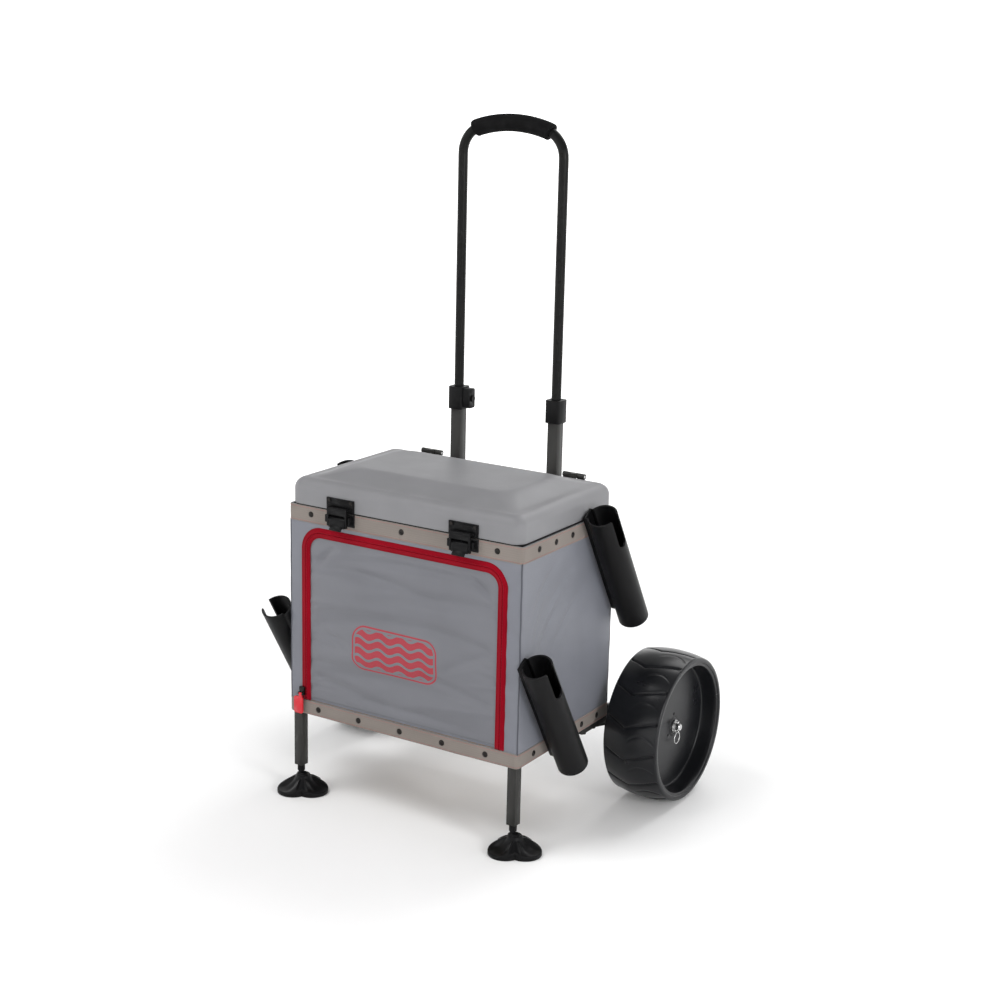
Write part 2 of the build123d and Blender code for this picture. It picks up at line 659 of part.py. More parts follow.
def handle_grip():
    """The foam sleeve over the top of the U."""
    return swept_ring(handle_path(GRIP_X, 0), GRIP_R, HANDLE_OD / 2)


def handle_sleeve():
    """The right square tube that the U slides in."""
    height = SLEEVE_TOP - BOX_BOTTOM
    return Pos(HANDLE_X, HANDLE_Y, BOX_BOTTOM + height / 2) * square_tube(height, SLEEVE, TUBE_WALL)


def collar(side):
    """The moulded cap on a sleeve. The left one has a boss that carries the lock button."""
    x = side * HANDLE_X
    half = COLLAR / 2
    cap = block(x - half, x + half, HANDLE_Y - half, HANDLE_Y + half, COLLAR_BOTTOM, COLLAR_TOP)
    cap = fillet(cap.edges().filter_by(Axis.Z), 4.0)
    if side < 0:
        boss = block(x + half - 1.0, x + half + BOSS_L, HANDLE_Y - 8.5, HANDLE_Y + 8.5,
                     COLLAR_BOTTOM + 3.0, COLLAR_TOP - 2.0)
        cap = cap + fillet(boss.edges().filter_by(Axis.X), 3.0)
        pocket_x = x + half + BOSS_L - 10.0
        cap = cap - rod_x(pocket_x, x + half + BOSS_L + 1.0, HANDLE_Y, button_z(), BUTTON_R + FIT)
    socket = block(x - SLEEVE / 2, x + SLEEVE / 2, HANDLE_Y - SLEEVE / 2, HANDLE_Y + SLEEVE / 2,
                   COLLAR_BOTTOM, SLEEVE_TOP)
    return cap - socket - rod_z(x, HANDLE_Y, SLEEVE_TOP, COLLAR_TOP, HANDLE_OD / 2 + FIT)


def button_z():
    """The height of the lock button's axis."""
    return (COLLAR_BOTTOM + COLLAR_TOP) / 2


def lock_button():
    """The push button in the left collar's boss."""
    face = -HANDLE_X + COLLAR / 2 + BOSS_L
    return rod_x(face - 6.0, face + BUTTON_PROUD, HANDLE_Y, button_z(), BUTTON_R)


def handle_saddles():
    """The brackets that hold both sleeves to the rear of the box."""
    near = BOX_D + BAND_T
    far = HANDLE_Y + SLEEVE / 2 + SADDLE_T
    half = SLEEVE / 2 + SADDLE_T
    saddles = []
    for z in (RAIL_BOTTOM_Z, RAIL_TOP_Z):
        low = z - SADDLE_H / 2
        high = z + SADDLE_H / 2
        wrap = block(HANDLE_X - half, HANDLE_X + half, near, far, low, high)
        flange = block(HANDLE_X - SADDLE_W / 2, HANDLE_X + SADDLE_W / 2, near, near + SADDLE_T, low, high)
        room = SLEEVE / 2 + FIT
        tube = block(HANDLE_X - room, HANDLE_X + room, HANDLE_Y - room, HANDLE_Y + room, low, high)
        saddles += sides(drilled(wrap + flange - tube))
    return saddles


# ---- Rod holders ----
def rod_holder(mouth):
    """A right rod holder: a tilted tube with a floor, two notches at the mouth, and a back plate."""
    tube = Pos(0, 0, -HOLDER_L / 2) * Cylinder(HOLDER_R, HOLDER_L)
    back = HOLDER_OUT - BAND_T
    web_top = -1.0
    web = block(-back, -HOLDER_BORE_R, -WEB_W / 2, WEB_W / 2, -HOLDER_L + WEB_STEP, web_top)
    bore_bottom = -HOLDER_L + HOLDER_FLOOR
    body = tube + web - rod_z(0, 0, bore_bottom, 1.0, HOLDER_BORE_R)
    body = body - rod_z(0, 0, -HOLDER_L - 1.0, bore_bottom + 1.0, DRAIN_R)
    reach = (WEB_T - back, HOLDER_R + 1.0)
    foot = -NOTCH_DEPTH + NOTCH_W / 2
    body = body - block(*reach, -NOTCH_W / 2, NOTCH_W / 2, foot, 1.0)
    body = body - rod_x(*reach, 0, foot, NOTCH_W / 2)
    placed = Pos(HOLDER_X, mouth[0], mouth[1]) * Rot(HOLDER_TILT, 0, 0) * body
    return drilled(placed)


# ---- Wheels and axle ----
def wheel():
    """The right wheel: a crowned hollow rim, a disc set in from the outer face, and a hub."""
    x0 = WHEEL_IN_X
    x1 = WHEEL_OUT_X
    bore = AXLE_R + FIT
    tread = ThreePointArc((x0, WHEEL_EDGE_R), ((x0 + x1) / 2, WHEEL_R), (x1, WHEEL_EDGE_R))
    rest = Polyline((x1, WHEEL_EDGE_R), (x1, LIP_R), (x1 - 2.0, LIP_R), (x1 - 2.0, RECESS_R),
                    (DISC_X, RECESS_FOOT_R), (DISC_X, HUB_R), (HUB_X, HUB_R), (HUB_X, bore), (x0, bore),
                    (x0, HUB_R), (DISC_X - DISC_T, HUB_R), (DISC_X - DISC_T, RECESS_FOOT_R),
                    (x0 + 2.0, RECESS_R), (x0 + 2.0, LIP_R), (x0, LIP_R), (x0, WHEEL_EDGE_R))
    section = Plane.XZ * make_face([tread, rest])
    body = Pos(0, AXLE_Y, AXLE_Z) * revolve(section, Axis.X)
    for step in range(3):
        angle = math.radians(90 + 120 * step)
        y = AXLE_Y + HUB_HOLE_RING * math.cos(angle)
        z = AXLE_Z + HUB_HOLE_RING * math.sin(angle)
        body = body - rod_x(DISC_X - DISC_T - 1.0, DISC_X + 1.0, y, z, HUB_HOLE_R)
    return body


def axle():
    """The rod through both wheels, cross-drilled at its ends."""
    rod = rod_x(-AXLE_END_X, AXLE_END_X, AXLE_Y, AXLE_Z, AXLE_R)
    rod = chamfer(rod.edges().filter_by(GeomType.CIRCLE), 1.0)
    for x in (-COTTER_X, COTTER_X):
        rod = rod - rod_z(x, AXLE_Y, AXLE_Z - 10.0, AXLE_Z + 10.0, COTTER_R + FIT)
    return rod


def axle_brackets():
    """The plates that reach back from the side rails to the axle."""
    flange = block(*BRACKET_X, BRACKET_FRONT_Y, BOX_D, BOX_BOTTOM - BRACKET_FLANGE_H, BOX_BOTTOM)
    behind = BOX_D + BAND_T + MOVE_GAP
    arm = prism_x([(BOX_D - 30.0, BOX_BOTTOM), (BOX_D - 30.0, BOX_BOTTOM - BRACKET_FLANGE_H),
                   (AXLE_Y - 4.0, AXLE_Z - BRACKET_BOSS_R + 0.5), (AXLE_Y + 4.0, AXLE_Z + BRACKET_BOSS_R - 0.5),
                   (behind + 8.0, BOX_BOTTOM + BRACKET_RISE), (behind, BOX_BOTTOM + BRACKET_RISE),
                   (behind, BOX_BOTTOM)], *BRACKET_X)
    boss = rod_x(*BRACKET_X, AXLE_Y, AXLE_Z, BRACKET_BOSS_R)
    bracket = flange + arm + boss
    return sides(drilled(bracket) - rod_x(*BRACKET_X, AXLE_Y, AXLE_Z, AXLE_R + FIT))


def axle_spacers():
    """The sleeves between the brackets and the wheels."""
    x0 = BRACKET_X[1]
    x1 = WHEEL_IN_X - MOVE_GAP
    spacer = rod_x(x0, x1, AXLE_Y, AXLE_Z, SPACER_R) - rod_x(x0, x1, AXLE_Y, AXLE_Z, AXLE_R + FIT)
    return sides(spacer)


def axle_washers():
    """The washers outside the hubs."""
    x0 = HUB_X + MOVE_GAP
    x1 = x0 + WASHER_T
    return sides(rod_x(x0, x1, AXLE_Y, AXLE_Z, WASHER_R) - rod_x(x0, x1, AXLE_Y, AXLE_Z, AXLE_R + FIT))


def cotter_pins():
    """The pins through the axle's ends: a domed head above and an eye below for the pull ring."""
    shank = rod_z(COTTER_X, AXLE_Y, EYE_Z + COTTER_EYE_R, AXLE_Z + AXLE_R + 3.0, COTTER_R)
    head = Pos(COTTER_X, AXLE_Y, AXLE_Z + AXLE_R + 2.5) * Cylinder(COTTER_R + 1.0, 3.0)
    eye = Pos(COTTER_X, AXLE_Y, EYE_Z) * Rot(90, 0, 0) * Torus(COTTER_EYE_R, RING_WIRE_R)
    return sides(shank + head + eye)


def pull_ring():
    """The split ring that hangs in the right cotter pin's eye."""
    return Pos(COTTER_X, AXLE_Y, RING_TOP_Z - RING_R) * Rot(0, 90, 0) * Torus(RING_R, RING_WIRE_R)


# ---- Legs and feet ----
def leg():
    """The right leg tube, which slides in the front post."""
    return Pos(POST_X, POST_FRONT_Y, LEG_BOTTOM + LEG_L / 2) * square_tube(LEG_L, LEG, LEG_WALL)


def leg_stem():
    """The plug in the leg's lower end, with a stem and a ball for the foot."""
    side = LEG - 2 * LEG_WALL - 2 * FIT
    bottom = LEG_BOTTOM + 1.0
    plug = Pos(POST_X, POST_FRONT_Y, bottom + INSERT_H / 2) * Box(side, side, INSERT_H)
    stem = rod_z(POST_X, POST_FRONT_Y, BALL_Z + 11.0, bottom, STEM_R)
    neck = rod_z(POST_X, POST_FRONT_Y, BALL_Z, BALL_Z + 11.0, NECK_R)
    ball = Pos(POST_X, POST_FRONT_Y, BALL_Z) * Sphere(BALL_R)
    return joined([plug, stem, neck, ball])


def foot():
    """The right foot: a hub round the ball and three spoon-shaped lobes that reach the ground."""
    outline = [(0, FOOT_HUB_TOP - 3.0), (FOOT_HUB_R, FOOT_HUB_TOP - 4.0), (FOOT_R * 0.5, 23.0),
               (FOOT_R * 0.8, 15.0), (FOOT_R * 0.97, 5.0), (FOOT_R, 0), (FOOT_R - 4.0, 0),
               (FOOT_R * 0.75, 10.0), (FOOT_R * 0.45, 17.0), (0, 18.0)]
    umbrella = revolve(Plane.XZ * make_face(Polyline(*outline, close=True)), Axis.Z)
    lobes = []
    for angle in LOBE_ANGLES:
        lobes.append(Rot(0, 0, angle) * Pos(LOBE_OUT, 0, FOOT_HUB_TOP / 2) * Cylinder(LOBE_R, FOOT_HUB_TOP))
    petals = umbrella & joined(lobes)
    hub = rod_z(0, 0, FOOT_HUB_BOTTOM, FOOT_HUB_TOP, FOOT_HUB_R)
    socket = Pos(0, 0, BALL_Z) * Sphere(BALL_R + FIT)
    mouth = Pos(0, 0, FOOT_HUB_TOP - 2.0) * Cylinder(BALL_R - 2.0, 4.1)
    body = petals + hub - socket - mouth
    return Pos(POST_X, POST_FRONT_Y, 0) * body


# ---- Nodes ----
def left(shape):
    """The mirror image of a right-hand piece."""
    return mirror(shape, about=Plane.YZ)


def build_nodes():
    """Every node of the cart by name, with y = 0 on the front face of the box."""
    nodes = {
        "front_posts": post_pair(POST_FRONT_Y),
        "rear_posts": post_pair(POST_REAR_Y),
        "top_side_rails": side_rails(RAIL_TOP_Z),
        "top_cross_rails": cross_rails(RAIL_TOP_Z),
        "bottom_side_rails": side_rails(RAIL_BOTTOM_Z),
        "bottom_cross_rails": cross_rails(RAIL_BOTTOM_Z),
        "base_board": base_board(),
        "box_front": box_front(),
        "box_right": box_side(),
        "box_left": left(box_side()),
        "box_rear": box_rear(),
        "webbing_bands": [band(BOX_TOP - TOP_BAND_H, BOX_TOP), band(BOX_BOTTOM, BOX_BOTTOM + BOTTOM_BAND_H)],
        "press_studs": press_studs(),
        "frame_bolts": frame_bolts(),
        "zip_tape_box": zip_tape(0, TAPE_W),
        "zip_tape_door": zip_tape(-TAPE_W, -DOOR_GAP),
        "door_panel": door_panel(),
        "zip_slider": zip_slider(),
        "zip_pull": zip_pull(),
        "lid_shell": lid_shell(),
        "lid_liner": lid_liner(),
        "lid_gasket": lid_gasket(),
        "hinge_brackets": hinge_brackets(),
        "hinge_pins": hinge_pins(),
        "hinge_leaves": hinge_leaves(),
        "latch_bases": latch_bases(),
        "latch_strikes": latch_strikes(),
        "latch_screws": [screw for shape in strike_screws() for screw in sides(shape)],
        "handle_saddles": handle_saddles(),
        "handle_tube": handle_tube(),
        "handle_grip": handle_grip(),
        "collar_right": collar(1),
        "collar_left": collar(-1),
        "lock_button": lock_button(),
        "axle": axle(),
        "axle_brackets": axle_brackets(),
        "axle_spacers": axle_spacers(),
        "axle_washers": axle_washers(),
        "cotter_pins": cotter_pins(),
    }
    paired = {
        "latch_lever": latch_lever(),
        "latch_bail": latch_bail(),
        "handle_sleeve": handle_sleeve(),
        "rod_holder_front": rod_holder(FRONT_MOUTH_YZ),
        "rod_holder_rear": rod_holder(REAR_MOUTH_YZ),
        "wheel": wheel(),
        "pull_ring": pull_ring(),
        "leg": leg(),
        "leg_stem": leg_stem(),
    }
    for name, shape in paired.items():
        nodes[name + "_right"] = shape
        nodes[name + "_left"] = left(shape)
    nodes["foot_right"] = foot()
    nodes["foot_left"] = Pos(-2 * POST_X, 0, 0) * foot()
    return nodes


def write_nodes():
    """One STEP file per node, with the origin under the middle of the cart."""
    os.makedirs("parts", exist_ok=True)
    for name, shape in build_nodes().items():
        pieces = shape if isinstance(shape, list) else [shape]
        solids = [solid for piece in pieces for solid in piece.solids()]
        moved = [Pos(0, BOX_FRONT_Y, 0) * solid for solid in solids]
        export_step(moved[0] if len(moved) == 1 else Compound(moved), f"parts/{name}.step")


write_nodes()
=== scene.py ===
"""Beach cart: a soft-sided seat box on two wide wheels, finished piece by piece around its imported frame."""

from __future__ import annotations

import functools
import json
import logging
import math
from collections.abc import Callable, Sequence
from dataclasses import dataclass, field
from enum import Enum
from typing import Any

import bmesh
import bpy
import numpy as np
from mathutils import Matrix, Vector

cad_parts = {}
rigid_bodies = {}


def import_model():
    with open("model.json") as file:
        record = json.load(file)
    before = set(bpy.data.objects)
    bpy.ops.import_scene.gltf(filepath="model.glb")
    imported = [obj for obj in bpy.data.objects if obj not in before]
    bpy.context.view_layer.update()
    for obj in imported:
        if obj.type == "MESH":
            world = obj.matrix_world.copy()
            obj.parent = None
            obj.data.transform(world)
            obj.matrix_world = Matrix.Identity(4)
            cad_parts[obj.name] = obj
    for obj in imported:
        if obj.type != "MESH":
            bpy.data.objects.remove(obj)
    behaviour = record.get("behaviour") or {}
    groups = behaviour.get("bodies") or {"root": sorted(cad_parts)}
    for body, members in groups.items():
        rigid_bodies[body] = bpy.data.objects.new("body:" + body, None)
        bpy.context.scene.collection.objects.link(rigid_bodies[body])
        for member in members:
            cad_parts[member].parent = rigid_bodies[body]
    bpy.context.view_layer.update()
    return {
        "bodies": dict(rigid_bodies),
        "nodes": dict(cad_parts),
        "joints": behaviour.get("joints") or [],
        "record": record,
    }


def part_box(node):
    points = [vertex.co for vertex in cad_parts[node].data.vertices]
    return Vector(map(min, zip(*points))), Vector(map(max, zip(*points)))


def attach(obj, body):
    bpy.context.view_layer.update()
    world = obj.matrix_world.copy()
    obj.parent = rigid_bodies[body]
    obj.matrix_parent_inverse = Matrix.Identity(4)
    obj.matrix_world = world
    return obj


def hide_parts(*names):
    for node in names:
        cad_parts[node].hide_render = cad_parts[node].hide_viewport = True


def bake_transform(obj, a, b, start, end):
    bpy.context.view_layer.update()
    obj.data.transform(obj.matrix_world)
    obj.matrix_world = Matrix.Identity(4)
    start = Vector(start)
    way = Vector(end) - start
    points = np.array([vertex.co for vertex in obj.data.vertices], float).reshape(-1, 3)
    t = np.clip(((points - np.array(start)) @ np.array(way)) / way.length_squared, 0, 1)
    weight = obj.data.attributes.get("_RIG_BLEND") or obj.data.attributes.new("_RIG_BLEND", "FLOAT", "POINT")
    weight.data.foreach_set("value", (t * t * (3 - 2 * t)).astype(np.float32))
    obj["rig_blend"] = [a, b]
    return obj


LOG = logging.getLogger("beach_cart")
MM = 0.001
Color = tuple[float, float, float]
Place = tuple[float, float, float]
Socket = bpy.types.NodeSocket
Object = bpy.types.Object


# ---- Node trees ----
class Value:
    """A number that flows through a node tree and takes part in ordinary arithmetic."""

    def __init__(self, graph: "Graph", socket: Socket) -> None:
        """Wraps a socket.

        Args:
            graph: the tree that the socket belongs to.
            socket: the output that gives the number.
        """
        self.graph = graph
        self.socket = socket

    def __add__(self, other: "Value | float") -> "Value":
        """Sum."""
        return self.graph.math("ADD", self, other)

    def __radd__(self, other: float) -> "Value":
        """Sum with a number on the left."""
        return self.graph.math("ADD", other, self)

    def __sub__(self, other: "Value | float") -> "Value":
        """Difference."""
        return self.graph.math("SUBTRACT", self, other)

    def __rsub__(self, other: float) -> "Value":
        """Difference with a number on the left."""
        return self.graph.math("SUBTRACT", other, self)

    def __mul__(self, other: "Value | float") -> "Value":
        """Product."""
        return self.graph.math("MULTIPLY", self, other)

    def __rmul__(self, other: float) -> "Value":
        """Product with a number on the left."""
        return self.graph.math("MULTIPLY", other, self)

    def __truediv__(self, other: "Value | float") -> "Value":
        """Quotient."""
        return self.graph.math("DIVIDE", self, other)


class Graph:
    """Adds nodes to a shader or geometry tree."""

    def __init__(self, tree: bpy.types.NodeTree) -> None:
        """Takes the tree that nodes are added to."""
        self.tree = tree

    def node(self, kind: str, settings: dict[str, Any] | None = None,
             sockets: dict[Any, Any] | None = None) -> bpy.types.Node:
        """Adds one node.

        Args:
            kind: the node's type.
            settings: its own properties, set first; "stops" fills a ramp.
            sockets: values or links, by input name or number.
        Returns:
            The new node.
        """
        made = self.tree.nodes.new(kind)
        for key, value in (settings or {}).items():
            if key == "stops":
                self._fill_ramp(made.color_ramp, value)
            else:
                setattr(made, key, value)
        for key, value in (sockets or {}).items():
            socket = made.inputs[key]
            if isinstance(value, Value):
                self.tree.links.new(value.socket, socket)
            elif isinstance(value, Socket):
                self.tree.links.new(value, socket)
            elif socket.type == "RGBA":
                socket.default_value = (*value, 1.0)
            else:
                socket.default_value = value
        return made

    @staticmethod
    def _fill_ramp(ramp: bpy.types.ColorRamp, stops: Sequence[tuple[float, float]]) -> None:
        """Sets a grey ramp's stops, as (place, brightness) pairs."""
        while len(ramp.elements) < len(stops):
            ramp.elements.new(0.5)
        for element, (place, grey) in zip(ramp.elements, stops):
            element.position = place
            element.color = (grey, grey, grey, 1.0)

    def math(self, operation: str, *terms: "Value | float") -> Value:
        """Adds a Math node.

        Args:
            operation: what it does.
            terms: its values or links, in order.
        Returns:
            Its result.
        """
        made = self.node("ShaderNodeMath", {"operation": operation}, dict(enumerate(terms)))
        return Value(self, made.outputs[0])

    def mix(self, factor: "Value | float", low: Any, high: Any) -> Socket:
        """Mixes two colours.

        Args:
            factor: the share of the second, from 0 to 1.
            low: the first, a colour or a link.
            high: the second.
        Returns:
            The mixed colour's socket.
        """
        made = self.node("ShaderNodeMix", {"data_type": "RGBA"}, {0: factor, 6: low, 7: high})
        return made.outputs[2]

    def place(self) -> Socket:
        """The point on the surface, in the object's own coordinates."""
        return self.node("ShaderNodeTexCoord").outputs["Object"]

    def flat_place(self) -> Socket:
        """The point on the cloth, in metres along and across it."""
        return self.node("ShaderNodeUVMap", {"uv_map": "cloth"}).outputs["UV"]

    def split(self, vector: Socket) -> tuple[Value, Value, Value]:
        """A vector's three numbers."""
        made = self.node("ShaderNodeSeparateXYZ", None, {0: vector})
        return tuple(Value(self, made.outputs[i]) for i in range(3))

    def noise(self, where: Socket, scale: float, detail: float = 2.0) -> Value:
        """Soft noise over the surface.

        Args:
            where: the point that it is read at.
            scale: how many blots there are in a metre.
            detail: how many finer octaves it has.
        Returns:
            A value from 0 to 1.
        """
        made = self.node("ShaderNodeTexNoise", None, {"Vector": where, "Scale": scale, "Detail": detail})
        return Value(self, made.outputs["Fac"])

    def ramp(self, value: Value, *stops: tuple[float, float]) -> Value:
        """Sends a number through a grey ramp.

        Args:
            value: the number.
            stops: the ramp's stops, as (place, brightness) pairs.
        Returns:
            The brightness at the number.
        """
        made = self.node("ShaderNodeValToRGB", {"stops": stops}, {0: value})
        return Value(self, self.node("ShaderNodeRGBToBW", None, {0: made.outputs[0]}).outputs[0])

    def wave(self, value: Value, pitch: float) -> Value:
        """A sine of a length, once every pitch."""
        return self.math("SINE", value * (2 * math.pi / pitch))

    def bump(self, height: Value, strength: float, depth: float) -> Socket:
        """A bumped normal from a height of 0 to 1.

        Args:
            height: the height over the surface.
            strength: how strongly it shows, from 0 to 1.
            depth: the height of 1, in metres.
        Returns:
            The normal's socket.
        """
        made = self.node("ShaderNodeBump", None, {"Strength": strength, "Distance": depth, "Height": height})
        return made.outputs["Normal"]


# ---- Finishes ----
@dataclass(frozen=True)
class Finish:
    """A surface finish: its name, colour and gloss."""

    name: str
    color: Color
    roughness: float = 0.5
    specular: float = 0.35

    @functools.cache
    def material(self) -> bpy.types.Material:
        """The finish's material, made once."""
        material = bpy.data.materials.new(self.name)
        material.use_nodes = True
        material.node_tree.nodes.clear()
        graph = Graph(material.node_tree)
        shader = graph.node("ShaderNodeBsdfPrincipled", None, {
            "Base Color": self.color, "Roughness": self.roughness, "Specular IOR Level": self.specular})
        graph.node("ShaderNodeOutputMaterial", None, {0: shader.outputs[0]})
        self.dress(graph, shader)
        return material

    def dress(self, graph: Graph, shader: bpy.types.Node) -> None:
        """Adds what is particular to the finish.

        Args:
            graph: the material's tree.
            shader: its Principled shader.
        """
        raise NotImplementedError

    def shades(self, graph: Graph, where: Socket, scale: float, spread: float) -> Socket:
        """The finish's colour, slightly uneven over the surface.

        Args:
            graph: the material's tree.
            where: the point on the surface.
            scale: how many blots there are in a metre.
            spread: how far the colour strays, as a share of it.
        Returns:
            The colour's socket.
        """
        dark = tuple(channel * (1 - spread) for channel in self.color)
        light = tuple(min(1.0, channel * (1 + spread)) for channel in self.color)
        return graph.mix(graph.ramp(graph.noise(where, scale), (0.3, 0.0), (0.7, 1.0)), dark, light)


def connect(graph: Graph, shader: bpy.types.Node, **links: Any) -> None:
    """Links outputs to the shader's sockets, with _ for a space in their names."""
    for name, value in links.items():
        socket = value.socket if isinstance(value, Value) else value
        graph.tree.links.new(socket, shader.inputs[name.replace("_", " ")])


@dataclass(frozen=True)
class Moulded(Finish):
    """Moulded plastic or rubber with a fine grain and rubbed patches."""

    grain: float = 900.0
    grain_depth: float = 0.00012
    uneven: float = 0.12

    def dress(self, graph: Graph, shader: bpy.types.Node) -> None:
        """Grain in the bump, patches in the gloss."""
        where = graph.place()
        patches = graph.noise(where, 22.0, 3.0)
        connect(graph, shader,
                Base_Color=self.shades(graph, where, 14.0, self.uneven),
                Roughness=patches * 0.16 + (self.roughness - 0.08),
                Normal=graph.bump(graph.noise(where, self.grain, 2.0), 0.35, self.grain_depth))


@dataclass(frozen=True)
class Painted(Finish):
    """Paint on metal: faint orange peel, a few scuffs, dust in the gloss."""

    scuffs: float = 0.25

    def dress(self, graph: Graph, shader: bpy.types.Node) -> None:
        """Scuffs that lighten the paint, and peel in the bump."""
        where = graph.place()
        stretched = graph.node("ShaderNodeMapping", None, {0: where, "Scale": (1.0, 1.0, 0.25)}).outputs[0]
        scuff = graph.ramp(graph.noise(stretched, 160.0, 6.0), (0.62, 0.0), (0.72, 1.0)) * self.scuffs
        pale = tuple(channel * 2.2 + 0.02 for channel in self.color)
        connect(graph, shader,
                Base_Color=graph.mix(scuff, self.shades(graph, where, 9.0, 0.15), pale),
                Roughness=graph.noise(where, 40.0) * 0.14 + (self.roughness - 0.07),
                Normal=graph.bump(graph.noise(where, 420.0, 1.0), 0.3, 0.0001))


@dataclass(frozen=True)
class Metal(Finish):
    """Bare or plated metal, brushed by wear."""

    tarnish: Color = (0.3, 0.29, 0.27)
    share: float = 0.3

    def dress(self, graph: Graph, shader: bpy.types.Node) -> None:
        """Tarnish in the colour and gloss."""
        where = graph.place()
        spots = graph.ramp(graph.noise(where, 260.0, 5.0), (0.45, 0.0), (0.75, 1.0)) * self.share
        shader.inputs["Metallic"].default_value = 1.0
        connect(graph, shader,
                Base_Color=graph.mix(spots, self.color, self.tarnish),
                Roughness=spots * 0.3 + self.roughness,
                Normal=graph.bump(graph.noise(where, 1400.0), 0.2, 0.00005))


@dataclass(frozen=True)
class Foam(Finish):
    """Closed-cell foam with small pores."""

    def dress(self, graph: Graph, shader: bpy.types.Node) -> None:
        """Pores in the bump and colour."""
        where = graph.place()
        cells = graph.node("ShaderNodeTexVoronoi", None, {"Vector": where, "Scale": 620.0})
        pore = Value(graph, cells.outputs["Distance"])
        connect(graph, shader,
                Base_Color=self.shades(graph, where, 60.0, 0.3),
                Roughness=graph.noise(where, 30.0) * 0.1 + (self.roughness - 0.05),
                Normal=graph.bump(pore, 0.7, 0.0005))


@dataclass(frozen=True)
class Board(Finish):
    """Plain board with a long grain."""

    def dress(self, graph: Graph, shader: bpy.types.Node) -> None:
        """Grain along the board."""
        where = graph.place()
        long = graph.node("ShaderNodeMapping", None, {0: where, "Scale": (0.05, 1.0, 1.0)}).outputs[0]
        grain = graph.noise(long, 260.0, 5.0)
        dark = tuple(channel * 0.6 for channel in self.color)
        connect(graph, shader,
                Base_Color=graph.mix(grain, dark, self.color),
                Roughness=grain * 0.2 + (self.roughness - 0.1),
                Normal=graph.bump(grain, 0.4, 0.0003))


@dataclass(frozen=True)
class PaleFloor(Finish):
    """A pale studio floor that glows softly away from its middle, as a lit backdrop does."""

    glow: float = 0.75
    near: float = 0.9
    far: float = 3.5

    def dress(self, graph: Graph, shader: bpy.types.Node) -> None:
        """Glow by the distance from the middle."""
        where = graph.place()
        x, y, _ = graph.split(where)
        reach = (graph.math("SQRT", x * x + y * y) - self.near) / (self.far - self.near)
        glow = graph.ramp(reach, (0.0, 0.0), (1.0, 1.0))
        shader.inputs["Emission Strength"].default_value = self.glow
        connect(graph, shader,
                Base_Color=self.shades(graph, where, 3.0, 0.01),
                Roughness=graph.noise(where, 2.0) * 0.05 + self.roughness,
                Emission_Color=graph.mix(glow, (0.0, 0.0, 0.0), (1.0, 1.0, 1.0)),
                Normal=graph.bump(graph.noise(where, 60.0), 0.2, 0.0001))


@dataclass(frozen=True)
class Woven(Finish):
    """Woven cloth: a plain weave in metres along and across, soft stains and a faint sheen."""

    thread: float = 0.0011
    depth: float = 0.00018
    sheen: float = 0.15
    uneven: float = 0.05

    def ground(self, graph: Graph, where: Socket) -> Socket:
        """The cloth's colour before its threads."""
        return self.shades(graph, where, 9.0, self.uneven)

    def height(self, graph: Graph, where: Socket) -> Value:
        """The threads' height from 0 to 1."""
        along, across, _ = graph.split(where)
        weave = graph.wave(along, self.thread) * graph.wave(across, self.thread)
        return weave * 0.5 + 0.5

    def dress(self, graph: Graph, shader: bpy.types.Node) -> None:
        """Threads in the bump, and faintly in the colour as painted shade in the hollows between them and
        painted highlight on their tops.
        """
        where = graph.flat_place()
        threads = self.height(graph, where)
        ground = self.ground(graph, where)
        # painted shade and highlight: the colour darkens in the hollows of the weave and lightens on its
        # raised threads
        shade = graph.node("ShaderNodeCombineColor", None, {i: threads * 0.5 + 0.72 for i in range(3)})
        lit = graph.node("ShaderNodeMix", {"data_type": "RGBA", "blend_type": "MULTIPLY"},
                         {0: 0.35, 6: ground, 7: shade.outputs[0]})
        shader.inputs["Sheen Weight"].default_value = self.sheen
        shader.inputs["Sheen Roughness"].default_value = 0.4
        connect(graph, shader,
                Base_Color=lit.outputs[2],
                Roughness=threads * 0.1 + (self.roughness - 0.05),
                Normal=graph.bump(threads, 0.5, self.depth))


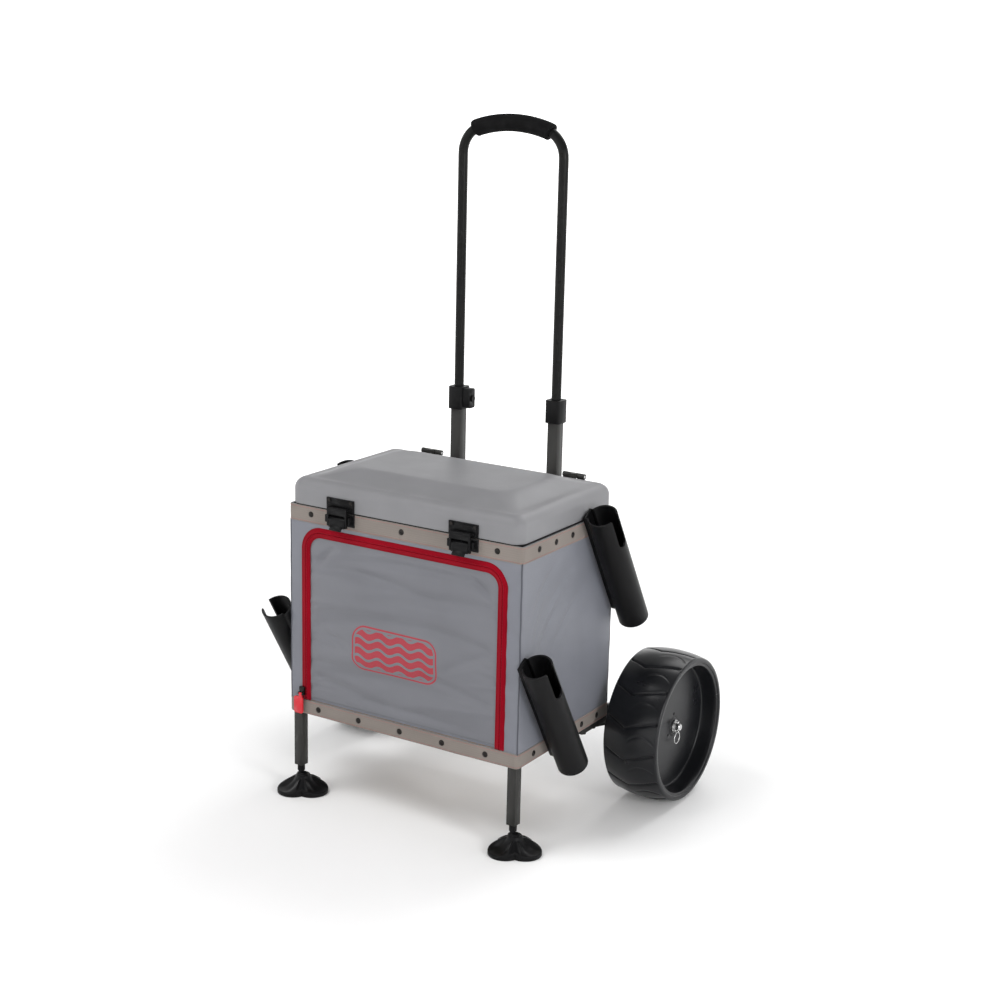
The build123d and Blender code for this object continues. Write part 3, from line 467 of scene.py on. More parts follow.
@dataclass(frozen=True)
class Printed(Woven):
    """The door's cloth with a plain badge of three waves printed on it."""

    ink: Color = (0.3, 0.012, 0.026)
    center: tuple[float, float] = (-0.011, 0.281)
    half: tuple[float, float] = (0.082, 0.037)
    corner: float = 0.024
    margin: float = 0.006
    rim: float = 0.0028
    wave_pitch: float = 0.04
    wave_height: float = 0.0035
    stripe_pitch: float = 0.0155

    def _edge(self, graph: Graph, where: Socket, inset: float) -> Value:
        """The badge's outline as a mask.

        Args:
            graph: the material's tree.
            where: the point on the cloth.
            inset: how far the outline is set in.
        Returns:
            1 inside the outline and 0 outside.
        """
        past = []
        for value, center, half in zip(graph.split(where), self.center, self.half):
            far = graph.math("ABSOLUTE", value - center)
            past.append(graph.math("MAXIMUM", far - (half - self.corner), 0.0))
        reach = graph.math("SQRT", past[0] * past[0] + past[1] * past[1])
        return graph.math("LESS_THAN", reach, self.corner - inset)

    def ground(self, graph: Graph, where: Socket) -> Socket:
        """The cloth with the badge's ink over it."""
        x, z, _ = graph.split(where)
        crest = graph.wave(x - self.center[0], self.wave_pitch) * self.wave_height
        place = (z - self.center[1] - crest) / self.stripe_pitch
        stripe = graph.math("ABSOLUTE", graph.math("FRACT", place + 10.5) - 0.5)
        waves = graph.math("GREATER_THAN", stripe, 0.15)
        body = self._edge(graph, where, self.margin)
        rim = self._edge(graph, where, 0.0) - self._edge(graph, where, self.rim)
        worn = graph.ramp(graph.noise(where, 700.0, 3.0), (0.28, 0.75), (0.4, 1.0))
        named = graph.node("ShaderNodeAttribute", {"attribute_name": "outside"})
        outside = Value(graph, named.outputs["Fac"])
        ink = graph.math("MINIMUM", body * waves + rim, 1.0) * worn * outside
        return graph.mix(ink, self.shades(graph, where, 9.0, self.uneven), self.ink)


@dataclass(frozen=True)
class Webbing(Woven):
    """Narrow woven tape, ribbed across, with its raised ribs painted paler as painted highlight and its
    hollows darker as painted shade.
    """

    def height(self, graph: Graph, where: Socket) -> Value:
        """Ribs that run across the tape, broken by its long threads."""
        along, across, _ = graph.split(where)
        twill = graph.wave(along + across * 0.6, self.thread)
        return twill * 0.35 + graph.wave(across, self.thread * 1.6) * 0.15 + 0.5


FABRIC = Woven("grey_cloth", (0.147, 0.153, 0.177), 0.4, 0.4)
# The door's cloth is the walls' cloth tinted darker: painted shade, so that the front reads darker than the
# sides.
DOOR_FABRIC = Printed("door_cloth", (0.127, 0.13, 0.146), 0.38, 0.45)
PIPING = Moulded("piping_cloth", (0.075, 0.078, 0.09), 0.7, 0.15, grain=1500.0)
WEBBING = Webbing("webbing_tape", (0.195, 0.172, 0.155), 0.8, 0.12, thread=0.0022, depth=0.0004, uneven=0.1)
ZIP_TAPE = Webbing("zip_tape", (0.215, 0.0008, 0.008), 0.75, 0.04, thread=0.0014, depth=0.0003, uneven=0.12)
THREAD = Moulded("stitch_thread", (0.33, 0.13, 0.125), 0.75, 0.2, grain=2600.0)
RED_THREAD = Moulded("zip_thread", (0.18, 0.001, 0.007), 0.75, 0.05, grain=2600.0)
BLACK = Moulded("black_nylon", (0.0042, 0.0042, 0.0046), 0.42, 0.12)
SLOT_FINISHES: dict[str, Finish] = {
    "frame_steel": Painted("frame_paint", (0.033, 0.0325, 0.031), 0.4, 0.14),
    "board": Board("base_board", (0.25, 0.17, 0.10), 0.7),
    "grey_fabric": FABRIC,
    "webbing": WEBBING,
    "red_tape": ZIP_TAPE,
    "lid_plastic": Moulded("lid_resin", (0.182, 0.182, 0.19), 0.48, 0.3, grain=1100.0, uneven=0.04),
    "black_plastic": BLACK,
    "wheel_plastic": Moulded("tyre_resin", (0.0052, 0.0056, 0.007), 0.3, 0.28, grain=700.0),
    "gloss_black": Painted("gloss_paint", (0.0075, 0.0075, 0.0073), 0.28, 0.1, scuffs=0.08),
    "foam": Foam("grip_foam", (0.0062, 0.0062, 0.0064), 0.85, 0.05),
    "rubber": Moulded("seal_rubber", (0.01, 0.01, 0.01), 0.7, 0.2),
    "dark_metal": Metal("gunmetal", (0.026, 0.024, 0.023), 0.34, 0.5, (0.012, 0.011, 0.01)),
    "zinc": Metal("zinc_plate", (0.6, 0.6, 0.6), 0.24, 0.5),
    "red_plastic": Moulded("red_gloss", (0.5, 0.006, 0.016), 0.14, 0.5, grain=300.0, grain_depth=0.00004),
}


# ---- Meshes ----
def new_object(name: str, mesh: bpy.types.Mesh) -> Object:
    """Puts a mesh in the scene as an object at the origin."""
    made = bpy.data.objects.new(name, mesh)
    bpy.context.scene.collection.objects.link(made)
    return made


def mesh_object(name: str, points: np.ndarray, faces: Sequence[Sequence[int]],
                cloth: np.ndarray | None = None, smooth: bool = True) -> Object:
    """Makes an object from points and faces.

    Args:
        name: the piece's name.
        points: its points, in metres.
        faces: the points of each face.
        cloth: each point's place on the flat cloth, in metres.
        smooth: whether it is shaded smooth.
    Returns:
        The new object.
    """
    mesh = bpy.data.meshes.new(name)
    mesh.from_pydata(np.asarray(points, float).tolist(), [], [list(map(int, face)) for face in faces])
    mesh.polygons.foreach_set("use_smooth", [smooth] * len(mesh.polygons))
    mesh.update()
    if cloth is not None:
        lay_cloth(mesh, cloth)
    return new_object(name, mesh)


def lay_cloth(mesh: bpy.types.Mesh, cloth: np.ndarray) -> None:
    """Writes each point's place on the flat cloth to the UV map that finishes read.

    Args:
        mesh: the mesh.
        cloth: each point's place on the flat cloth, in metres.
    """
    layer = mesh.uv_layers.get("cloth") or mesh.uv_layers.new(name="cloth")
    corners = np.empty(len(mesh.loops), int)
    mesh.loops.foreach_get("vertex_index", corners)
    layer.data.foreach_set("uv", np.asarray(cloth, float)[corners].ravel())


def grid_faces(rows: int, columns: int, close_rows: bool = False,
               close_columns: bool = False) -> list[list[int]]:
    """Quads over a grid of points stored row by row.

    Args:
        rows: how many rows there are.
        columns: how many points a row has.
        close_rows: whether the last row joins the first.
        close_columns: whether each row's end joins its start.
    Returns:
        The faces, turned so that rows x columns gives their outside.
    """
    row = np.arange(rows if close_rows else rows - 1)
    column = np.arange(columns if close_columns else columns - 1)
    r, c = (part.ravel() for part in np.meshgrid(row, column, indexing="ij"))
    r2, c2 = (r + 1) % rows, (c + 1) % columns
    return np.stack([r * columns + c, r * columns + c2, r2 * columns + c2, r2 * columns + c], 1).tolist()


def coordinates(mesh: bpy.types.Mesh) -> np.ndarray:
    """A mesh's points as an array."""
    points = np.empty(len(mesh.vertices) * 3)
    mesh.vertices.foreach_get("co", points)
    return points.reshape(-1, 3)


def end_caps(rows: int, columns: int) -> list[list[int]]:
    """The two faces that close the first and the last row of a grid of points."""
    last = (rows - 1) * columns
    return [list(range(columns)), list(range(last, last + columns))]


def face_out(target: Object, merge: float = 1e-6) -> Object:
    """Merges doubled points and turns every face outwards.

    Args:
        target: the object, whose mesh is changed.
        merge: the distance within which points are one.
    Returns:
        The same object.
    """
    work = bmesh.new()
    work.from_mesh(target.data)
    bmesh.ops.remove_doubles(work, verts=work.verts, dist=merge)
    bmesh.ops.recalc_face_normals(work, faces=work.faces)
    work.to_mesh(target.data)
    work.free()
    return target


def rounded_rectangle(low: Sequence[float], high: Sequence[float], radius: float, step: float,
                      turns: int = 10) -> tuple[np.ndarray, np.ndarray, np.ndarray]:
    """A rounded rectangle's outline, anticlockwise from the middle of its low side.

    Args:
        low: its lowest corner.
        high: its highest corner.
        radius: its corners' radius.
        step: the distance between points on its sides.
        turns: how many steps a corner has.
    Returns:
        The points, their outward normals, and their distances along the outline.
    """
    (x0, y0), (x1, y1) = low[:2], high[:2]
    middle = (x0 + x1) / 2
    arcs = [((x1 - radius, y0 + radius), -90), ((x1 - radius, y1 - radius), 0),
            ((x0 + radius, y1 - radius), 90), ((x0 + radius, y0 + radius), 180)]
    points: list[tuple[float, float]] = [(middle, y0)]
    normals: list[tuple[float, float]] = [(0.0, -1.0)]

    def run_to(target: tuple[float, float], normal: tuple[float, float]) -> None:
        """Adds points on a straight side up to a target."""
        start = np.array(points[-1])
        count = max(1, round(float(np.linalg.norm(np.array(target) - start)) / step))
        for i in range(1, count + 1):
            points.append(tuple(start + (np.array(target) - start) * i / count))
            normals.append(normal)

    for (cx, cy), start in arcs:
        a = math.radians(start)
        run_to((cx + radius * math.cos(a), cy + radius * math.sin(a)), (math.cos(a), math.sin(a)))
        for i in range(1, turns + 1):
            a = math.radians(start + 90 * i / turns)
            points.append((cx + radius * math.cos(a), cy + radius * math.sin(a)))
            normals.append((math.cos(a), math.sin(a)))
    run_to((middle, y0), (0.0, -1.0))
    points.pop()
    normals.pop()
    line = np.array(points)
    steps = np.linalg.norm(np.roll(line, -1, 0) - line, axis=1)
    return line, np.array(normals), np.concatenate([[0.0], np.cumsum(steps)[:-1]])


def sweep(name: str, centers: np.ndarray, outs: np.ndarray, sides: np.ndarray,
          profile: Sequence[tuple[float, float]], closed: bool, along: np.ndarray) -> Object:
    """Carries a closed profile along a path.

    Args:
        name: the piece's name.
        centers: the path's points.
        outs: at each, the direction that the profile's second number follows.
        sides: at each, the direction that its first number follows.
        profile: the profile's points, as (side, out).
        closed: whether the path joins up.
        along: each point's distance along the path, for the weave.
    Returns:
        The swept object, capped where it is open.
    """
    shape = np.array(profile)
    side, out = shape[None, :, 0, None], shape[None, :, 1, None]
    points = centers[:, None] + side * sides[:, None] + out * outs[:, None]
    faces = grid_faces(len(centers), len(shape), closed, True)
    if not closed:
        faces += end_caps(len(centers), len(shape))
    cloth = np.stack(np.broadcast_arrays(along[:, None], shape[None, :, 0]), 2).reshape(-1, 2)
    made = mesh_object(name, points.reshape(-1, 3), faces, cloth)
    return face_out(made, 0.0)


def revolved(name: str, profile: Sequence[tuple[float, float]], segments: int) -> Object:
    """Turns a profile round Z.

    Args:
        name: the piece's name.
        profile: its points as (radius, height), from its top to its foot.
        segments: how many steps a turn has.
    Returns:
        The turned object.
    """
    shape = np.array(profile)
    turn = np.arange(segments) * 2 * math.pi / segments
    points = np.stack([shape[:, None, 0] * np.cos(turn), shape[:, None, 0] * np.sin(turn),
                       np.broadcast_to(shape[:, None, 1], (len(shape), segments))], 2)
    made = mesh_object(name, points.reshape(-1, 3), grid_faces(len(shape), segments, False, True))
    return face_out(made, 1e-5)


def islands(node: Object) -> list[np.ndarray]:
    """The separate solids of a CAD node.

    Args:
        node: the node's object.
    Returns:
        Each solid's points, sorted by their middle.
    """
    work = bmesh.new()
    work.from_mesh(node.data)
    bmesh.ops.remove_doubles(work, verts=work.verts, dist=1e-6)
    left = set(work.verts)
    found = []
    while left:
        group, edge = [], [left.pop()]
        while edge:
            vertex = edge.pop()
            group.append(tuple(vertex.co))
            for link in vertex.link_edges:
                other = link.other_vert(vertex)
                if other in left:
                    left.remove(other)
                    edge.append(other)
        found.append(np.array(group))
    work.free()
    return sorted(found, key=lambda points: tuple(np.round(points.mean(0), 5)))


def applied(target: Object) -> Object:
    """Bakes an object's modifiers into its mesh."""
    depsgraph = bpy.context.evaluated_depsgraph_get()
    mesh = bpy.data.meshes.new_from_object(target.evaluated_get(depsgraph), depsgraph=depsgraph)
    target.modifiers.clear()
    target.data = mesh
    return target


def thicken(target: Object, thickness: float) -> Object:
    """Gives a sheet its thickness, inwards from its face.

    Args:
        target: the sheet, whose mesh is changed.
        thickness: how thick it becomes.
    Returns:
        The same object.
    """
    solid = target.modifiers.new("thickness", "SOLIDIFY")
    solid.thickness = thickness
    solid.offset = -1.0
    solid.use_even_offset = False
    return applied(target)


class Layout(Enum):
    """How copies are set out by a repeating tree."""

    PATH = "path"
    POINTS = "points"


def repeat(name: str, layout: Layout, base: Object, item: Object, finish: Finish,
           spacing: float = 4 * MM, facing: Place = (0.0, 0.0, 1.0)) -> Object:
    """Sets copies of a small shape along a path or at points, with Geometry Nodes.

    Args:
        name: the piece's name.
        layout: along the base's edges, or at its points.
        base: the path, or points with a "facing" attribute; removed afterwards.
        item: the shape that is repeated; removed afterwards.
        finish: the finish of every copy.
        spacing: the distance between copies on a path, in metres.
        facing: where each copy's Z points on a path.
    Returns:
        One plain mesh of all the copies.
    """
    tree = bpy.data.node_groups.new(name + "_layout", "GeometryNodeTree")
    sockets = {label: tree.interface.new_socket(label, in_out="INPUT", socket_type=kind) for label, kind in (
        ("Base", "NodeSocketGeometry"), ("Item", "NodeSocketObject"), ("Spacing", "NodeSocketFloat"),
        ("Facing", "NodeSocketVector"), ("Finish", "NodeSocketMaterial"))}
    tree.interface.new_socket("Result", in_out="OUTPUT", socket_type="NodeSocketGeometry")
    graph = Graph(tree)
    given = graph.node("NodeGroupInput").outputs
    shape = graph.node("GeometryNodeObjectInfo", None, {"Object": given["Item"], "As Instance": True})
    if layout is Layout.PATH:
        curve = graph.node("GeometryNodeMeshToCurve", None, {0: given["Base"]})
        path = graph.node("GeometryNodeResampleCurve", {"mode": "LENGTH"},
                          {"Curve": curve.outputs[0], "Length": given["Spacing"]})
        upright = graph.node("FunctionNodeAlignRotationToVector", {"axis": "Z"}, {"Vector": given["Facing"]})
        tangent = graph.node("GeometryNodeInputTangent")
        turned = graph.node("FunctionNodeAlignRotationToVector", {"axis": "X", "pivot_axis": "Z"},
                            {"Rotation": upright.outputs[0], "Vector": tangent.outputs[0]})
        where = path.outputs[0]
    else:
        named = graph.node("GeometryNodeInputNamedAttribute", {"data_type": "FLOAT_VECTOR"},
                           {"Name": "facing"})
        turned = graph.node("FunctionNodeAlignRotationToVector", {"axis": "Z"}, {"Vector": named.outputs[0]})
        where = given["Base"]
    copies = graph.node("GeometryNodeInstanceOnPoints", None, {
        "Points": where, "Instance": shape.outputs["Geometry"], "Rotation": turned.outputs[0]})
    real = graph.node("GeometryNodeRealizeInstances", None, {0: copies.outputs[0]})
    dressed = graph.node("GeometryNodeSetMaterial", None,
                         {"Geometry": real.outputs[0], "Material": given["Finish"]})
    graph.node("NodeGroupOutput", None, {0: dressed.outputs[0]})
    modifier = base.modifiers.new("layout", "NODES")
    modifier.node_group = tree
    modifier[sockets["Item"].identifier] = item
    modifier[sockets["Spacing"].identifier] = spacing
    modifier[sockets["Facing"].identifier] = facing
    modifier[sockets["Finish"].identifier] = finish.material()
    made = new_object(name, applied(base).data)
    for spent in (base, item):
        bpy.data.objects.remove(spent)
    return made


def path_object(name: str, points: np.ndarray, closed: bool) -> Object:
    """A bare line of edges for a repeating tree.

    Args:
        name: the line's name.
        points: its points, in order.
        closed: whether its end joins its start.
    Returns:
        The line's object.
    """
    count = len(points)
    edges = [(i, i + 1) for i in range(count - 1)] + ([(count - 1, 0)] if closed else [])
    mesh = bpy.data.meshes.new(name)
    mesh.from_pydata(points.tolist(), edges, [])
    return new_object(name, mesh)


def capsule(length: float, radius: float, sides: int = 6) -> Object:
    """A short rounded stitch along X, a few dozen faces.

    Args:
        length: its length.
        radius: its thickest radius.
        sides: how many sides it has.
    Returns:
        The stitch.
    """
    half = length / 2
    stations = [(half * at, share) for at, share in (
        (-1.0, 0.15), (-0.86, 0.7), (-0.4, 1.0), (0.4, 1.0), (0.86, 0.7), (1.0, 0.15))]
    turn = np.arange(sides) * 2 * math.pi / sides
    points = [(x, radius * share * math.cos(a), radius * share * math.sin(a))
              for x, share in stations for a in turn]
    faces = grid_faces(len(stations), sides, False, True) + end_caps(len(stations), sides)
    return face_out(mesh_object("stitch", np.array(points), faces), 0.0)


def finish_piece(piece: Object, finish: Finish, slot: str, body: str | None, *nodes: str) -> None:
    """Dresses a piece, sets what it rides on and what it stands for, and reports it.

    Args:
        piece: the finished mesh.
        finish: its finish.
        slot: the record's material slot; not used.
        body: the body it rides on, or None where it bends between two.
        nodes: the CAD nodes it stands for.
    """
    piece.data.materials.clear()
    piece.data.materials.append(finish.material())
    if body:
        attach(piece, body)
    if nodes:
        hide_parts(*nodes)
    LOG.info("%s: %d faces, rides %s", piece.name, len(piece.data.polygons), body)


def soft_step(value: np.ndarray, start: float, end: float) -> np.ndarray:
    """A smooth rise from 0 at start to 1 at end."""
    t = np.clip((value - start) / (end - start), 0.0, 1.0)
    return t * t * (3 - 2 * t)


def between(value: np.ndarray, ends: tuple[float, float], lower: tuple[float, float],
            upper: tuple[float, float]) -> np.ndarray:
    """A smooth rise from 0 near both ends of a stretch to 1 in its middle.

    Args:
        value: the places along the stretch.
        ends: its two ends.
        lower: how far in from the low end the rise starts and is complete, in millimetres.
        upper: the same for the high end.
    Returns:
        The share from 0 to 1 at each place.
    """
    rise = soft_step(value, ends[0] + lower[0] * MM, ends[0] + lower[1] * MM)
    return rise * soft_step(-value, -ends[1] + upper[0] * MM, -ends[1] + upper[1] * MM)


def creases(across: np.ndarray, up: np.ndarray, folds: Sequence[tuple[float, ...]]) -> np.ndarray:
    """The height of soft folds in a cloth.

    Args:
        across: each point's first place on the cloth.
        up: its second.
        folds: each fold's middle, lean in degrees, half length, half width and height.
    Returns:
        The height at each point.
    """
    total = np.zeros_like(across)
    for x, z, lean, long, wide, high in folds:
        a = math.radians(lean)
        u = (across - x) * math.cos(a) + (up - z) * math.sin(a)
        v = -(across - x) * math.sin(a) + (up - z) * math.cos(a) + 0.08 * u * u / long
        total += high * np.exp(-(u / long) ** 2 - (v / wide) ** 2)
    return total


# ---- Soft goods ----
@dataclass
class ZipLine:
    """The zip's line on the front: an inverted U with rounded top corners."""

    tape: float = 7.5 * MM
    radius: float = 30 * MM
    x: float = field(init=False)
    top: float = field(init=False)
    bottom: float = field(init=False)
    face: float = field(init=False)

    def __post_init__(self) -> None:
        """Reads the line's place from the tape's own node."""
        low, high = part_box("zip_tape_box")
        self.x, self.top, self.bottom, self.face = high.x - self.tape, high.z - self.tape, low.z, high.y

    def path(self, offset: float, step: float = 4 * MM) -> tuple[np.ndarray, np.ndarray, np.ndarray]:
        """The line moved outwards by an offset.

        Args:
            offset: how far outwards, negative for inwards.
            step: the distance between points on its straight runs.
        Returns:
            The points, the outward directions in the front's plane, and the distances along.
        """
        r, x, top = self.radius + offset, self.x + offset, self.top + offset
        rise = np.linspace(self.bottom, top - r, round((top - r - self.bottom) / step) + 1)
        turn = np.radians(np.linspace(0, 90, 13))[1:]
        flat = np.linspace(-(x - r), x - r, round(2 * (x - r) / step) + 1)[1:]
        points = [(-x, z) for z in rise]
        sides = [(-1.0, 0.0)] * len(rise)
        points += [(-(x - r) - r * math.cos(a), top - r + r * math.sin(a)) for a in turn]
        sides += [(-math.cos(a), math.sin(a)) for a in turn]
        points += [(v, top) for v in flat]
        sides += [(0.0, 1.0)] * len(flat)
        points += [(x - r + r * math.sin(a), top - r + r * math.cos(a)) for a in turn]
        sides += [(math.sin(a), math.cos(a)) for a in turn]
        points += [(x, z) for z in rise[::-1][1:]]
        sides += [(1.0, 0.0)] * (len(rise) - 1)
        line = np.insert(np.array(points, float), 1, self.face, 1)
        out = np.insert(np.array(sides, float), 1, 0.0, 1)
        steps = np.linalg.norm(np.diff(line, axis=0), axis=1)
        return line, out, np.concatenate([[0.0], np.cumsum(steps)])

    def distance(self, x: np.ndarray, z: np.ndarray) -> tuple[np.ndarray, np.ndarray, np.ndarray]:
        """How far points are outside the opening.

        Args:
            x: the points' places across.
            z: their heights.
        Returns:
            The distances, negative inside, and the outward direction's two parts.
        """
        r = self.radius
        upper = z > self.top - r
        cx = np.sign(x) * (self.x - r)
        in_corner = upper & (np.abs(x) > self.x - r)
        dx, dz = x - cx, z - (self.top - r)
        length = np.maximum(np.hypot(dx, dz), 1e-9)
        choices = np.stack([np.abs(x) - self.x, z - self.top, self.bottom - z])
        side = choices.argmax(0)
        sd = np.where(in_corner, length - r, choices.max(0))
        nx = np.where(in_corner, dx / length, np.where(side == 0, np.sign(x), 0.0))
        nz = np.where(in_corner, dz / length, np.where(side == 1, 1.0, np.where(side == 2, -1.0, 0.0)))
        return sd, nx, nz


@dataclass
class BoxCover:
    """The cloth round the box: one wrap with piped corners, drawn in between the frame's tubes."""

    nodes: tuple[str, ...] = ("box_front", "box_left", "box_right", "box_rear")
    cloth: float = 2.0 * MM
    corner: float = 6.0 * MM
    cell: float = 5.0 * MM
    draw_in: float = 6.5 * MM
    piping: float = 0.7 * MM
    bead: float = 1.2 * MM
    waver: float = 0.2 * MM
    bands: tuple[float, float] = (26.0 * MM, 23.0 * MM)
    margin: float = 1.2 * MM
    seed: int = 11

    def build(self, line: ZipLine) -> None:
        """Makes the wrap with its door opening and hands it over.

        Args:
            line: the zip's line, round which the opening is cut.
        """
        boxes = [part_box(node) for node in self.nodes]
        low = [min(b[0][i] for b in boxes) for i in range(3)]
        high = [max(b[1][i] for b in boxes) for i in range(3)]
        outline, normals, along = rounded_rectangle(low, high, self.corner, self.cell)
        levels = np.linspace(low[2], high[2], round((high[2] - low[2]) / self.cell) + 1)
        z = np.meshgrid(along, levels)[1]
        x, y, s, nx, ny = (np.meshgrid(row, levels)[0] for row in (*outline.T, along, *normals.T))
        lift = self._lift(x, y, z, nx, ny, low, high)
        points = np.stack([x + nx * lift, y + ny * lift, z], 2).reshape(-1, 3)
        front = y.ravel() < low[1] + 0.5 * MM
        sd, ox, oz = line.distance(points[:, 0], points[:, 2])
        sd -= self.margin
        near = front & (np.abs(sd) < self.cell * 0.62)
        points[near, 0] -= (ox * sd)[near]
        points[near, 2] -= (oz * sd)[near]
        sd[near] = 0.0
        faces = np.array(grid_faces(len(levels), len(outline), False, True))
        inside = front[faces].all(1) & (sd[faces].max(1) < 1e-6)
        cloth = np.stack([s, z], 2).reshape(-1, 2)
        cover = mesh_object("box_cover", points, faces[~inside], cloth)
        loose = bmesh.new()
        loose.from_mesh(cover.data)
        bmesh.ops.delete(loose, geom=[v for v in loose.verts if not v.link_faces], context="VERTS")
        loose.to_mesh(cover.data)
        loose.free()
        thicken(cover, self.cloth)
        finish_piece(cover, FABRIC, "grey_fabric", "chassis", *self.nodes)
        self._piping(low, high)
        girth, height = float(along[-1] + self.cell), high[2] - low[2]
        opening = 2 * line.x * (line.top - line.bottom)
        girth * height - opening

    def _piping(self, low: Sequence[float], high: Sequence[float]) -> None:
        """Runs a dark bead up each sewn corner, between the webbing bands.

        Args:
            low: the box's lowest corner.
            high: its highest corner.
        """
        inset = self.corner * (1 - math.sqrt(0.5)) - self.piping * 0.5
        turn = np.arange(12) * math.pi / 6
        levels = np.linspace(low[2] + self.bands[1], high[2] - self.bands[0], 61)
        ring = np.stack([np.cos(turn), np.sin(turn)], 1) * self.bead
        points, faces = [], []
        for x, y in ((low[0] + inset, low[1] + inset), (high[0] - inset, low[1] + inset),
                     (high[0] - inset, high[1] - inset), (low[0] + inset, high[1] - inset)):
            first = len(points)
            points += [(x + dx + self.waver * math.sin(z * 120 + x), y + dy, z)
                       for z in levels for dx, dy in ring]
            walls = grid_faces(len(levels), len(turn), False, True) + end_caps(len(levels), len(turn))
            faces += [[first + i for i in face] for face in walls]
        beads = face_out(mesh_object("box_piping", np.array(points), faces), 0.0)
        finish_piece(beads, PIPING, "grey_fabric", "chassis")

    def _lift(self, x: np.ndarray, y: np.ndarray, z: np.ndarray, nx: np.ndarray, ny: np.ndarray,
              low: Sequence[float], high: Sequence[float]) -> np.ndarray:
        """How far each point stands out from the flat wall.

        Args:
            x: the points' places across the box.
            y: their places from front to rear.
            z: their heights.
            nx: the wall's outward direction across.
            ny: its outward direction from front to rear.
            low: the box's lowest corner.
            high: its highest corner.
        Returns:
            The distance outwards at each point.
        """
        side, rear, front = (soft_step(facing, 0.97, 1.0) for facing in (np.abs(nx), ny, -ny))
        ends = list(zip(low, high))
        tall = between(z, ends[2], (25, 110), (28, 110))
        deep = between(y, ends[1], (22, 95), (22, 95))
        wide = between(x, ends[0], (22, 120), (22, 120))
        drawn = -self.draw_in * tall * (side * deep + rear * wide)
        ease = between(z, ends[2], (24, 45), (28, 50))
        ease_y = between(y, ends[1], (12, 30), (12, 30))
        rear_folds = [(0.0, high[2] - 0.12, 4, 0.16, 0.012, -1.2 * MM),
                      (0.05, low[2] + 0.1, -3, 0.14, 0.013, 1 * MM),
                      (-0.06, low[2] + 0.19, 2, 0.12, 0.012, 0.8 * MM)]
        rumple = creases(y, z, self._side_folds(low, high)) * side * ease * ease_y
        rumple += creases(x, z, rear_folds) * rear * ease
        rumple += (0.3 * np.sin(z * 95 + x * 9) + 0.3 * np.sin(z * 211 - x * 23)) * MM * front * ease
        on_corner = (np.abs(nx) > 0.05) * (np.abs(ny) > 0.05)
        bead = self.piping * np.exp(-((np.abs(nx) - math.sqrt(0.5)) / 0.13) ** 2) * on_corner
        return drawn + rumple + bead

    def _side_folds(self, low: Sequence[float], high: Sequence[float]) -> list[tuple[float, ...]]:
        """Draws the side walls' folds: steep ones below the front corner, flat ones near the foot.

        Args:
            low: the box's lowest corner.
            high: its highest corner.
        Returns:
            The folds, as creases takes them.
        """
        pick = np.random.default_rng(self.seed)
        folds = []
        for _ in range(9):
            lean = pick.uniform(35, 60)
            start = pick.uniform(0.0, 1.0)
            height = high[2] - 0.06 - 0.07 * pick.uniform(0, 1) - 0.05 * start
            folds.append((low[1] + (0.035 + 0.12 * start), height, lean, pick.uniform(0.03, 0.07),
                          pick.uniform(0.006, 0.011), pick.uniform(-1.9, 1.7) * MM))
        for _ in range(6):
            folds.append((pick.uniform(low[1] + 0.06, high[1] - 0.06), low[2] + pick.uniform(0.05, 0.12),
                          pick.uniform(-35, 35), pick.uniform(0.05, 0.09), pick.uniform(0.008, 0.014),
                          pick.uniform(-0.7, 0.7) * MM))
        return folds


